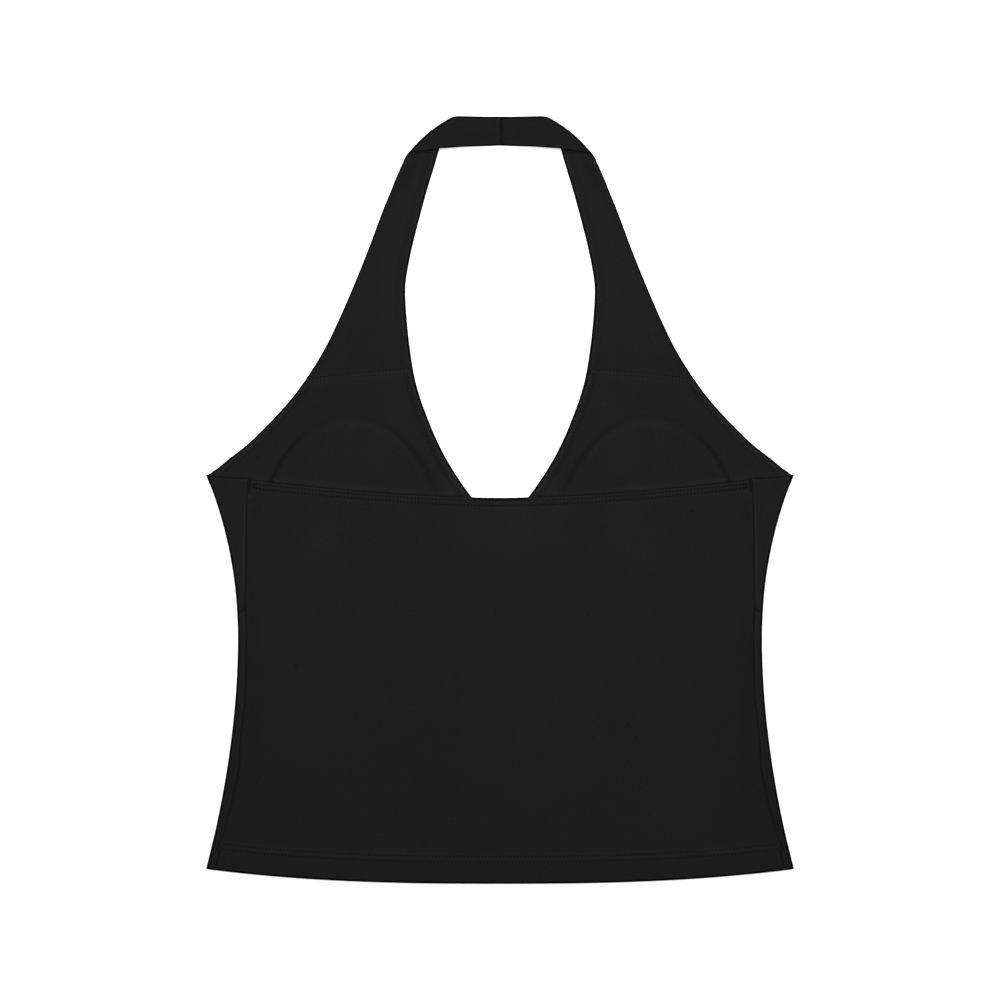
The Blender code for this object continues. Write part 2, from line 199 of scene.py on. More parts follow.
@dataclass(frozen=True)
class Cut:
    """The whole top's shape as it lies, which every piece is cut from."""

    length: float = 0.5216
    hem_half: float = 0.2001
    waist_half: float = 0.1785
    underarm_half: float = 0.1994
    waist_y: float = -0.0952
    underarm_y: float = 0.0160
    waist_to_hem_curve: float = 1.87
    waist_to_underarm_curve: float = 2.1
    hem_rise: float = 0.0100
    hem_curve: float = 2.6
    back_top_y: float = 0.0014
    back_top_rise: float = 0.0125
    back_top_curve: float = 1.65
    underbust_side_y: float = -0.0771
    underbust_dip: float = 0.0090
    underbust_behind_rise: float = 0.0020
    gap: float = 0.0003
    front_z: float = 0.0005
    lining_z: float = 0.0018
    back_z: float = 0.0034
    side_fold_reach: float = 0.00195
    side_fold_share: float = 0.3
    shoulder_fold_z: float = 0.00245
    lining_inset: float = 0.0008
    band_low_x: float = 0.0080
    band_high_x: float = 0.0320
    fold_centre: tuple[float, float] = (-0.0078, 0.1816)
    fold_radius: float = 0.0888
    fold_crossing: float = 2.0
    # angle, slip below and slip above, in degrees
    fold_at_neckline: tuple[float, float, float] = (61.7, 3.2, 4.8)
    fold_at_armhole: tuple[float, float, float] = (38.3, 5.2, 1.2)
    join_neck_y: float = 0.0877
    join_arm_y: float = 0.0809
    join_bow: float = 0.0011
    neckline: tuple = (
        (0.0000, -0.0145),
        (0.0095, -0.0095),
        (0.0201, 0.0027),
        (0.0362, 0.0272),
        (0.0489, 0.0544),
        (0.0590, 0.0870),
        (0.0645, 0.1360),
        (0.0619, 0.1632),
        (0.0518, 0.2040),
        (0.0437, 0.2312),
    )
    armhole: tuple = (
        (0.1974, 0.0160),
        (0.1920, 0.0212),
        (0.1855, 0.0272),
        (0.1687, 0.0408),
        (0.1428, 0.0680),
        (0.1238, 0.0952),
        (0.1098, 0.1224),
        (0.0925, 0.1632),
        (0.0769, 0.2040),
    )
    # at x and y, reach, push across and push along
    bulges: tuple = (
        (0.0655, 0.2285, 0.0068, 0.0015, 0.0006),
        (0.0700, 0.2190, 0.0080, 0.0009, 0.0003),
        (0.1985, 0.0155, 0.0080, 0.0009, 0.0013),
    )
    band_upper: tuple = ((0.0200, 0.2608), (0.0000, 0.2608))
    band_lower: tuple = ((0.0422, 0.2389), (0.0340, 0.2394), (0.0204, 0.2405), (0.0000, 0.2414))
    side_seam: tuple = (
        (-0.2496, 0.1936),
        (-0.2366, 0.1904),
        (-0.2177, 0.1858),
        (-0.2020, 0.1816),
        (-0.1843, 0.1777),
        (-0.1660, 0.1768),
        (-0.1360, 0.1734),
        (-0.0911, 0.1723),
        (-0.0748, 0.1734),
        (-0.0272, 0.1724),
        (0.0143, 0.1716),
    )

    def side_half(self, y: np.ndarray) -> np.ndarray:
        """Half the width of the body at heights y, out to its folded side edge.

        Args:
            y: Positions along the top.

        Returns:
            The half widths.
        """
        below = np.clip((self.waist_y - y) / (self.waist_y + self.length / 2 - self.hem_rise), 0, None)
        above = np.clip((y - self.waist_y) / (self.underarm_y - self.waist_y), 0, 1)
        low = (self.hem_half - self.waist_half) * below**self.waist_to_hem_curve
        high = (self.underarm_half - self.waist_half) * above**self.waist_to_underarm_curve
        return self.waist_half + low + high

    def seam_half(self, y: np.ndarray) -> np.ndarray:
        """How far from the centre line the side seam lies behind, at heights y."""
        return np.interp(y, [s[0] for s in self.side_seam], [s[1] for s in self.side_seam])

    def hem_y(self, x: np.ndarray) -> np.ndarray:
        """The hem's edge at each x."""
        return -self.length / 2 + self.hem_rise * (np.abs(x) / self.hem_half) ** self.hem_curve

    def back_edge_y(self, x: np.ndarray) -> np.ndarray:
        """The upper edge of the back at each x."""
        return self.back_top_y + self.back_top_rise * (np.abs(x) / 0.1716) ** self.back_top_curve

    def underbust_y(self, x: np.ndarray) -> np.ndarray:
        """The seam under the bust, on the front, at each x."""
        return self.underbust_side_y - self.underbust_dip * (1 - (x / self.waist_half) ** 2)

    def underbust_bow(self, rows: np.ndarray, columns: np.ndarray) -> np.ndarray:
        """How far the lowest rows of a bust piece bend from straight to the seam under the bust."""
        return self.underbust_dip * (columns**2 - columns)[None, :] * (1 - rows)[:, None]

    def join_row_bow(self, rows: np.ndarray, columns: np.ndarray) -> np.ndarray:
        """How far rows bend up towards the seam that joins facing and lining."""
        return self.join_bow * rows[:, None] * (4 * columns * (1 - columns))[None, :]

    def side_fold(self, y_front: np.ndarray, y_behind: np.ndarray, steps: int, across: int) -> np.ndarray:
        """Rows of points from the front, round the folded side, to the side seam behind.

        Args:
            y_front: Each row's height on the front.
            y_behind: Each row's height at the seam.
            steps: Points round the fold.
            across: Points on the stretch behind.

        Returns:
            An array of rows of positions.
        """
        share = np.linspace(0, 1, steps + 1)[None, :]
        angle = math.pi * share
        y = y_front[:, None] + ((y_behind - y_front) * self.side_fold_share)[:, None] * share
        radius = (self.back_z - self.front_z) / 2
        x = self.side_half(y) - self.side_fold_reach + radius * np.sin(angle)
        z = (self.back_z + self.front_z) / 2 - radius * np.cos(angle)
        fold = np.dstack([x, y, z + 0 * x])
        seam = np.stack([self.seam_half(y_behind) + 0.00012, y_behind, 0 * y_behind + self.back_z], 1)
        behind = between(fold[:, -1], seam, crowded(across, 0.5)[1:])
        return np.concatenate([fold, behind], axis=1)

    def shoulder_fold(self, columns: int, radius: float, edge_inset: float, steps: int = 12) -> np.ndarray:
        """Rows of points across the strap on its way round the fold at the shoulder.

        Args:
            columns: Points across the strap.
            radius: From the fold's axis to the middle of this cloth.
            edge_inset: How far this cloth stops short of the strap's edges.
            steps: Rows round the fold.

        Returns:
            An array of rows of positions.
        """
        neck, arm = np.array(self.fold_at_neckline), np.array(self.fold_at_armhole)
        margin = math.degrees(self.fold_crossing * edge_inset / self.fold_radius) / (neck[0] - arm[0])
        share = np.linspace(margin, 1 - margin, columns + 1)[None, :]
        at, below, above = (neck[k] + (arm[k] - neck[k]) * share for k in range(3))
        step = np.linspace(0, 1, steps + 1)[:, None]
        turn = 1 - 2 * step
        bearing = np.radians(at - turn * np.where(turn > 0, below, above))
        outer = self.shoulder_fold_z - self.front_z + 0.0005
        reach = self.fold_radius - outer + radius * np.sin(math.pi * step)
        x = self.fold_centre[0] + reach * np.cos(bearing)
        y = self.fold_centre[1] + reach * np.sin(bearing)
        z = self.shoulder_fold_z - radius * np.cos(math.pi * step)
        return np.dstack([x, y, z + 0 * x])

    def neck_band(self, start: np.ndarray, low_z: float, edge_inset: float, rows: int) -> np.ndarray:
        """Half of the neck band, from the last row of the shoulder fold to the centre back.

        Args:
            start: That row.
            low_z: The height of this cloth at the centre.
            edge_inset: How far this cloth stops short of the band's edges.
            rows: Steps along the band.

        Returns:
            An array of rows of positions.
        """
        upper = catmull_rom([start[0][:2], *((x, y - edge_inset) for x, y in self.band_upper)])
        lower = catmull_rom([start[-1][:2], *((x, y + edge_inset) for x, y in self.band_lower)])
        shares = np.linspace(0, 1, rows + 1)
        plan = between(sampled(upper, shares), sampled(lower, shares), np.linspace(0, 1, len(start)))
        rise = smooth_step((plan[..., 0] - self.band_low_x) / (self.band_high_x - self.band_low_x))
        band = raised(plan, low_z + (start[0][2] - low_z) * rise)
        band[0] = start
        band[-1, :, 0] = 0.00012
        return band

    def strap_edges(self) -> tuple[np.ndarray, np.ndarray]:
        """The whole neckline and armhole edge, as far as the shoulder fold.

        Returns:
            The neckline and the armhole in plan.
        """
        start = self.shoulder_fold(1, self.shoulder_fold_z - self.front_z, 0)[0]
        neck = catmull_rom([*self.neckline, start[0][:2]])
        return neck, catmull_rom([*self.armhole, start[-1][:2]])

    def swell(self, points: np.ndarray) -> np.ndarray:
        """Lets the strap bulge below its fold and draws out the corner under the arm.

        Args:
            points: Positions on the front or its facing.

        Returns:
            The moved positions.
        """
        side, x, y = np.sign(points[..., 0]), np.abs(points[..., 0]), points[..., 1]
        moved = points.copy()
        for at_x, at_y, reach, push_x, push_y in self.bulges:
            push = np.exp(-(((x - at_x) ** 2 + (y - at_y) ** 2) / reach**2))
            moved[..., 0] += side * push * push_x
            moved[..., 1] += push * push_y
        return moved


@dataclass(frozen=True)
class CupShape:
    """The outline and crown of a bust cup, which also lifts the cloth over it."""

    x: float = 0.1010
    y: float = -0.0136
    half_width: float = 0.0590
    above: float = 0.0700
    below: float = 0.0510
    rim: float = 0.0006
    crown: float = 0.0019
    exponent: float = 1.9

    def radius(self, x: np.ndarray, y: np.ndarray) -> np.ndarray:
        """Distance from a cup's middle, as a share of its outline's.

        Args:
            x: Positions across the top.
            y: Positions along the top.

        Returns:
            The shares, with 1 on the outline.
        """
        across = np.abs(np.abs(x) - self.x) / self.half_width
        along = np.abs(y - self.y) / np.where(y > self.y, self.above, self.below)
        return (across**self.exponent + along**self.exponent) ** (1 / self.exponent)

    def thickness(self, radius: np.ndarray) -> np.ndarray:
        """The pad's thickness at a share of its radius."""
        return self.rim + self.crown * (1 - np.minimum(radius, 1) ** 2)

    def lift(self, x: np.ndarray, y: np.ndarray, start: float, drape: float) -> np.ndarray:
        """How far the cloth over a cup is raised.

        Args:
            x: Positions across.
            y: Positions along.
            start: The cloth begins to fall at this many cup radii.
            drape: The cloth is level again at this many.

        Returns:
            A height in metres for each position.
        """
        radius = self.radius(x, y)
        fade = 1 - smooth_step((radius - start) / (drape - start))
        return (self.thickness(radius) + 0.0003) * fade

    def outline(self, share: float, side: Side, z: float, low: float, high: float) -> np.ndarray:
        """Part of the cup's outline as a path, from one bearing to another.

        Args:
            share: Of the outline's own radius.
            side: Which cup.
            z: The path's height.
            low: The first bearing, in degrees from the outer side.
            high: The last bearing.

        Returns:
            The path.
        """
        angle = np.radians(np.linspace(low, high, 60))
        c, s = np.cos(angle), np.sin(angle)
        reach = share * (np.abs(c) ** self.exponent + np.abs(s) ** self.exponent) ** (-1 / self.exponent)
        x = self.x + self.half_width * reach * c
        y = self.y + np.where(s > 0, self.above, self.below) * reach * s
        return np.stack([side.value * x, y, 0 * x + z], axis=1)


CUT = Cut()
CUP = CupShape()


@dataclass(frozen=True)
class Line:
    """A seam, crease, ridge or edge on the cloth, with what it does along its path.

    Height is outwards from the cloth's visible face, tone is a gain in lightness, painted light
    where above 0 and painted shade where below 0, and both fade with distance from the path over
    the width. A tapered line also fades towards its ends.
    """

    path: np.ndarray
    height: float
    width: float
    tone: float = 0.0
    tapered: bool = False

    def strength(self, points: np.ndarray) -> np.ndarray:
        """How strongly the line is felt at each point, from 0 to 1.

        Args:
            points: Positions on the middle of the cloth.

        Returns:
            A strength for each point.
        """
        felt = np.zeros(len(points))
        pad = 3 * self.width
        inside = np.all((points > self.path.min(0) - pad) & (points < self.path.max(0) + pad), axis=1)
        if inside.any():
            distance, along = nearest_on(self.path, points[inside])
            value = np.exp(-((distance / self.width) ** 2))
            if self.tapered:
                whole = np.linalg.norm(np.diff(self.path, axis=0), axis=1).sum()
                value *= np.sqrt(np.clip(np.sin(math.pi * along / whole), 0, 1))
            felt[inside] = value
        return felt


@dataclass(frozen=True)
class Patch:
    """A soft round place where painted light makes the cloth lighter or painted shade makes it darker, and
    where it may swell a little.
    """

    x: float
    y: float
    reach_x: float
    reach_y: float
    tone: float
    height: float = 0.0
    turn: float = 0.0

    def strength(self, points: np.ndarray) -> np.ndarray:
        """How strongly the patch is felt at each point, from 0 to 1.

        Args:
            points: Positions on the middle of the cloth.

        Returns:
            A strength for each point.
        """
        c, s = math.cos(math.radians(self.turn)), math.sin(math.radians(self.turn))
        dx, dy = points[:, 0] - self.x, points[:, 1] - self.y
        u, v = (c * dx + s * dy) / self.reach_x, (c * dy - s * dx) / self.reach_y
        return np.exp(-(u * u) - v * v)


def crease(x0: float, y0: float, x1: float, y1: float, height: float, width: float, z: float) -> Line:
    """A straight soft crease, fading at both ends.

    Args:
        x0: Where it starts, across, in millimetres.
        y0: Where it starts, along, in millimetres.
        x1: Where it ends, across, in millimetres.
        y1: Where it ends, along, in millimetres.
        height: A ridge if above 0 or a trough if below, in millimetres.
        width: How wide it is, in millimetres.
        z: The height of its cloth, in metres.

    Returns:
        The line.
    """
    bend = 0.06 * math.hypot(x1 - x0, y1 - y0)
    middle = ((x0 + x1) / 2 + bend * (1 if height > 0 else -1), (y0 + y1) / 2)
    plan = catmull_rom([(x0, y0), middle, (x1, y1)], 8) * MM
    return Line(np.column_stack([plan, np.full(len(plan), z)]), height * MM, width * MM, 0.0, True)


@dataclass(frozen=True)
class StitchRow:
    """A row of needle stitches: its path in the middle of the cloth, and the way out of the cloth."""

    path: np.ndarray
    up: int = 1
    # faint is added to the distance from the row, which weakens its painted hole shade and its groove
    faint: float = 0.0

    @property
    def length(self) -> float:
        """The row's length in metres."""
        return float(np.linalg.norm(np.diff(self.path, axis=0), axis=1).sum())


class NodeSheet:
    """Lays out nodes in a tree, one call a node."""

    def __init__(self, tree: bpy.types.NodeTree) -> None:
        """Keeps the tree that the nodes go in."""
        self.tree = tree

    def node(self, kind: str, inputs: dict | None = None, **settings: object) -> bpy.types.Node:
        """Adds a node.

        Args:
            kind: The node's type name.
            inputs: A value or an output socket for each input, by name or number.
            settings: The node's own settings.

        Returns:
            The node.
        """
        made = self.tree.nodes.new(kind)
        for name, value in settings.items():
            setattr(made, name, value)
        for name, value in (inputs or {}).items():
            if isinstance(value, bpy.types.NodeSocket):
                self.tree.links.new(value, made.inputs[name])
            else:
                made.inputs[name].default_value = value
        return made

    def math(self, operation: str, *values: object) -> bpy.types.NodeSocket:
        """Adds a Math node and returns its result."""
        return self.node("ShaderNodeMath", dict(enumerate(values)), operation=operation).outputs[0]

    def ramp(self, value: object, low: float, high: float) -> bpy.types.NodeSocket:
        """Adds a smooth step of the value from low to high.

        Args:
            value: The socket or number to step.
            low: Where the step starts.
            high: Where the step ends.

        Returns:
            The result, from 0 to 1.
        """
        inputs = {"Value": value, "From Min": low, "From Max": high}
        made = self.node("ShaderNodeMapRange", inputs, interpolation_type="SMOOTHSTEP")
        return made.outputs["Result"]


class ShaderEffects:
    """The node groups that the finishes share, each built once."""

    def __init__(self) -> None:
        """Builds the three groups."""
        self.knit = self.knit_grain()
        self.needle = self.needle_holes()
        # the painted shade and highlight along the cloth's edges
        self.edge = self.edge_shade()

    @staticmethod
    def group(name: str, inputs: dict[str, float], outputs: list[str]) -> tuple:
        """Starts a node group.

        Args:
            name: The group's name.
            inputs: Its number inputs and their first values.
            outputs: Its number outputs.

        Returns:
            The tree, a NodeSheet on it, its input node and its output node.
        """
        tree = bpy.data.node_groups.new(name, "ShaderNodeTree")
        for key, value in inputs.items():
            socket = tree.interface.new_socket(key, in_out="INPUT", socket_type="NodeSocketFloat")
            socket.default_value = value
        for key in outputs:
            tree.interface.new_socket(key, in_out="OUTPUT", socket_type="NodeSocketFloat")
        sheet = NodeSheet(tree)
        return tree, sheet, sheet.node("NodeGroupInput"), sheet.node("NodeGroupOutput")

    def knit_grain(self) -> bpy.types.NodeTree:
        """Fine wales, a cross grain, small slubs and cloudy wear of a jersey, on Object coordinates.

        Returns:
            The group, which gives tone, height and roughness.
        """
        inputs = {"Wales per metre": 1400.0, "Mottle": 1.0, "Slub": 1.0}
        tree, sheet, given, out = self.group("KnitGrain", inputs, ["Tone", "Height", "Roughness"])
        place = sheet.node("ShaderNodeTexCoord").outputs["Object"]
        xyz = sheet.node("ShaderNodeSeparateXYZ", {0: place})
        turns = sheet.math("MULTIPLY", given.outputs["Wales per metre"], 2 * math.pi)
        wander = sheet.node("ShaderNodeTexNoise", {"Vector": place, "Scale": 420.0, "Detail": 2.0})
        drift = sheet.math("MULTIPLY", wander.outputs["Fac"], 2.6)
        wale = sheet.math("SINE", sheet.math("ADD", sheet.math("MULTIPLY", xyz.outputs["X"], turns), drift))
        cross_turns = sheet.math("MULTIPLY", turns, 1.3)
        course = sheet.math("MULTIPLY", xyz.outputs["Y"], cross_turns)
        course = sheet.math("SINE", sheet.math("ADD", course, sheet.math("MULTIPLY", wale, 1.2)))
        loops = sheet.math("ADD", sheet.math("MULTIPLY", wale, 0.6), sheet.math("MULTIPLY", course, 0.4))
        fine = sheet.node("ShaderNodeTexNoise", {"Vector": place, "Scale": 1300.0, "Detail": 3.0})
        fine = sheet.math("SUBTRACT", fine.outputs["Fac"], 0.5)
        cloud = sheet.node("ShaderNodeTexNoise", {"Vector": place, "Scale": 38.0, "Detail": 5.0})
        cloud = sheet.math("SUBTRACT", cloud.outputs["Fac"], 0.5)
        slub = sheet.node("ShaderNodeTexNoise", {"Vector": place, "Scale": 190.0, "Detail": 1.0})
        slub = sheet.ramp(slub.outputs["Fac"], 0.735, 0.80)
        tone = sheet.math("ADD", 1.0, sheet.math("MULTIPLY", fine, 0.55))
        tone = sheet.math("ADD", tone, sheet.math("MULTIPLY", loops, 0.05))
        mottle = sheet.math("MULTIPLY", cloud, sheet.math("MULTIPLY", given.outputs["Mottle"], 0.22))
        tone = sheet.math("ADD", tone, mottle)
        dark = sheet.math("MULTIPLY", slub, sheet.math("MULTIPLY", given.outputs["Slub"], 0.16))
        tone = sheet.math("SUBTRACT", tone, dark)
        height = sheet.math("ADD", sheet.math("MULTIPLY", loops, 0.35), sheet.math("MULTIPLY", fine, 0.9))
        rough = sheet.math("ADD", 0.86, sheet.math("MULTIPLY", cloud, 0.12))
        for key, value in (("Tone", tone), ("Height", height), ("Roughness", rough)):
            tree.links.new(value, out.inputs[key])
        return tree

    def needle_holes(self) -> bpy.types.NodeTree:
        """A pricked hole between one stitch and the next, from the row attributes; its mask gives the painted
        shade in the hole and sinks the bump.

        Returns:
            The group, which gives the holes and the groove they lie in.
        """
        inputs = {"Along": 0.0, "Off": 1.0, "Reach": 0.00050}
        tree, sheet, given, out = self.group("NeedleHoles", inputs, ["Hole", "Groove"])
        phase = sheet.math("FRACT", sheet.math("ADD", given.outputs["Along"], 0.5))
        ahead = sheet.math("SUBTRACT", 1.0, phase)
        along = sheet.math("MULTIPLY", sheet.math("MINIMUM", phase, ahead), STITCH_PITCH)
        off = given.outputs["Off"]
        squared = sheet.math("ADD", sheet.math("MULTIPLY", along, along), sheet.math("MULTIPLY", off, off))
        share = sheet.math("DIVIDE", sheet.math("SQRT", squared), given.outputs["Reach"])
        hole = sheet.math("SUBTRACT", 1.0, sheet.ramp(share, 0.45, 1.25))
        groove = sheet.math("SUBTRACT", 1.0, sheet.ramp(off, 0.0, 0.0009))
        tree.links.new(hole, out.inputs["Hole"])
        tree.links.new(groove, out.inputs["Groove"])
        return tree

    def edge_shade(self) -> bpy.types.NodeTree:
        """Painted shade along a turned edge, with a painted highlight line just inside it, from the edge
        attribute.

        Returns:
            The group, which gives a tone of painted shade and highlight to multiply the colour with.
        """
        inputs = {"Distance": 1.0, "Dark": 0.4, "Light": 0.1}
        tree, sheet, given, out = self.group("EdgeShade", inputs, ["Tone"])
        distance = given.outputs["Distance"]
        # painted shade over the last millimetre or so by the edge, then a thin painted highlight inside it
        dark = sheet.math("SUBTRACT", 1.0, sheet.ramp(distance, 0.0006, 0.0014))
        rise = sheet.ramp(distance, 0.0011, 0.0016)
        fall = sheet.math("SUBTRACT", 1.0, sheet.ramp(distance, 0.0017, 0.0027))
        light = sheet.math("MULTIPLY", rise, fall)
        tone = sheet.math("SUBTRACT", 1.0, sheet.math("MULTIPLY", dark, given.outputs["Dark"]))
        tone = sheet.math("ADD", tone, sheet.math("MULTIPLY", light, given.outputs["Light"]))
        tree.links.new(tone, out.inputs["Tone"])
        return tree


@dataclass(frozen=True)
class KnitFinish:
    """A black jersey: its own depth of black, grain and soft surface."""

    name: str
    black: float
    wales: float = 1400.0
    mottle: float = 1.0
    slub: float = 1.0
    # how deep the painted shade along the edges is
    edge_painted_shade: float = 0.80
    bump: float = 0.35

    def material(self, effects: ShaderEffects) -> bpy.types.Material:
        """Builds the material.

        Args:
            effects: The shared node groups.

        Returns:
            The material.
        """
        made = bpy.data.materials.new(self.name)
        made.use_nodes = True
        sheet = NodeSheet(made.node_tree)
        shader = made.node_tree.nodes["Principled BSDF"]
        knit_inputs = {"Wales per metre": self.wales, "Mottle": self.mottle, "Slub": self.slub}
        knit = sheet.node("ShaderNodeGroup", node_tree=effects.knit)
        for key, value in knit_inputs.items():
            knit.inputs[key].default_value = value
        read = {}
        for key in ("tone", "edge", "row_along", "row_off"):
            read[key] = sheet.node("ShaderNodeAttribute", attribute_name=key).outputs["Fac"]
        needle = sheet.node("ShaderNodeGroup", node_tree=effects.needle)
        sheet.tree.links.new(read["row_along"], needle.inputs["Along"])
        sheet.tree.links.new(read["row_off"], needle.inputs["Off"])
        edge = sheet.node("ShaderNodeGroup", node_tree=effects.edge)
        sheet.tree.links.new(read["edge"], edge.inputs["Distance"])
        edge.inputs["Dark"].default_value = self.edge_painted_shade
        # colour: knit grain times the tone attribute's painted light and shade, the painted edge shade and
        # highlight, and painted shade in the needle holes
        tone = sheet.math("MULTIPLY", knit.outputs["Tone"], read["tone"])
        tone = sheet.math("MULTIPLY", tone, edge.outputs["Tone"])
        hole_painted_shade = sheet.math("SUBTRACT", 1.0, sheet.math("MULTIPLY", needle.outputs["Hole"], 0.88))
        tone = sheet.math("MULTIPLY", tone, hole_painted_shade)
        colour = sheet.node("ShaderNodeVectorMath", operation="SCALE")
        colour.inputs[0].default_value = (self.black, self.black, self.black * 1.01)
        sheet.tree.links.new(tone, colour.inputs["Scale"])
        sheet.tree.links.new(colour.outputs[0], shader.inputs["Base Color"])
        sheet.tree.links.new(knit.outputs["Roughness"], shader.inputs["Roughness"])
        sunk = sheet.math("MULTIPLY", needle.outputs["Hole"], 1.2)
        height = sheet.math("SUBTRACT", knit.outputs["Height"], sunk)
        height = sheet.math("SUBTRACT", height, sheet.math("MULTIPLY", needle.outputs["Groove"], 0.4))
        bump = sheet.node("ShaderNodeBump", {"Strength": self.bump, "Distance": 0.00012, "Height": height})
        sheet.tree.links.new(bump.outputs["Normal"], shader.inputs["Normal"])
        shader.inputs["Specular IOR Level"].default_value = 0.0
        shader.inputs["Sheen Weight"].default_value = 0.001
        shader.inputs["Sheen Roughness"].default_value = 0.45
        return made


@dataclass(frozen=True)
class ThreadFinish:
    """Black polyester thread, a little glossier than the knit."""

    name: str = "black_thread"
    black: float = 0.0071
    twists_per_metre: float = 2600.0

    def material(self) -> bpy.types.Material:
        """Builds the material, with the thread's twist in its colour and bump.

        Returns:
            The material.
        """
        made = bpy.data.materials.new(self.name)
        made.use_nodes = True
        sheet = NodeSheet(made.node_tree)
        shader = made.node_tree.nodes["Principled BSDF"]
        place = sheet.node("ShaderNodeTexCoord").outputs["Object"]
        xyz = sheet.node("ShaderNodeSeparateXYZ", {0: place})
        slant = sheet.math("ADD", xyz.outputs["X"], xyz.outputs["Y"])
        twist = sheet.math("SINE", sheet.math("MULTIPLY", slant, self.twists_per_metre * 2 * math.pi))
        speck = sheet.node("ShaderNodeTexNoise", {"Vector": place, "Scale": 900.0})
        tone = sheet.math("ADD", 0.85, sheet.math("MULTIPLY", twist, 0.12))
        tone = sheet.math("ADD", tone, sheet.math("MULTIPLY", speck.outputs["Fac"], 0.3))
        colour = sheet.node("ShaderNodeVectorMath", operation="SCALE")
        colour.inputs[0].default_value = (self.black,) * 3
        sheet.tree.links.new(tone, colour.inputs["Scale"])
        sheet.tree.links.new(colour.outputs[0], shader.inputs["Base Color"])
        bump = sheet.node("ShaderNodeBump", {"Strength": 0.3, "Distance": 0.00004, "Height": twist})
        sheet.tree.links.new(bump.outputs["Normal"], shader.inputs["Normal"])
        shader.inputs["Roughness"].default_value = 0.60
        shader.inputs["Specular IOR Level"].default_value = 0.06
        return made


@dataclass(frozen=True)
class PaintedEdgeReach:
    """How far the painted shade line along an edge is moved outwards or inwards, place by place, in metres.

    Far is the distance given to whatever is not near an edge.
    """

    far: float = 0.02
    hem: float = 0.0004
    fold: float = 0.0007
    over_lining: float = 0.0013
    keyhole_half: float = 0.0188
    keyhole_step: float = 0.0016
    underarm: float = 0.0008
    over_strap: float = 0.0009


PAINTED_EDGE_REACH = PaintedEdgeReach()


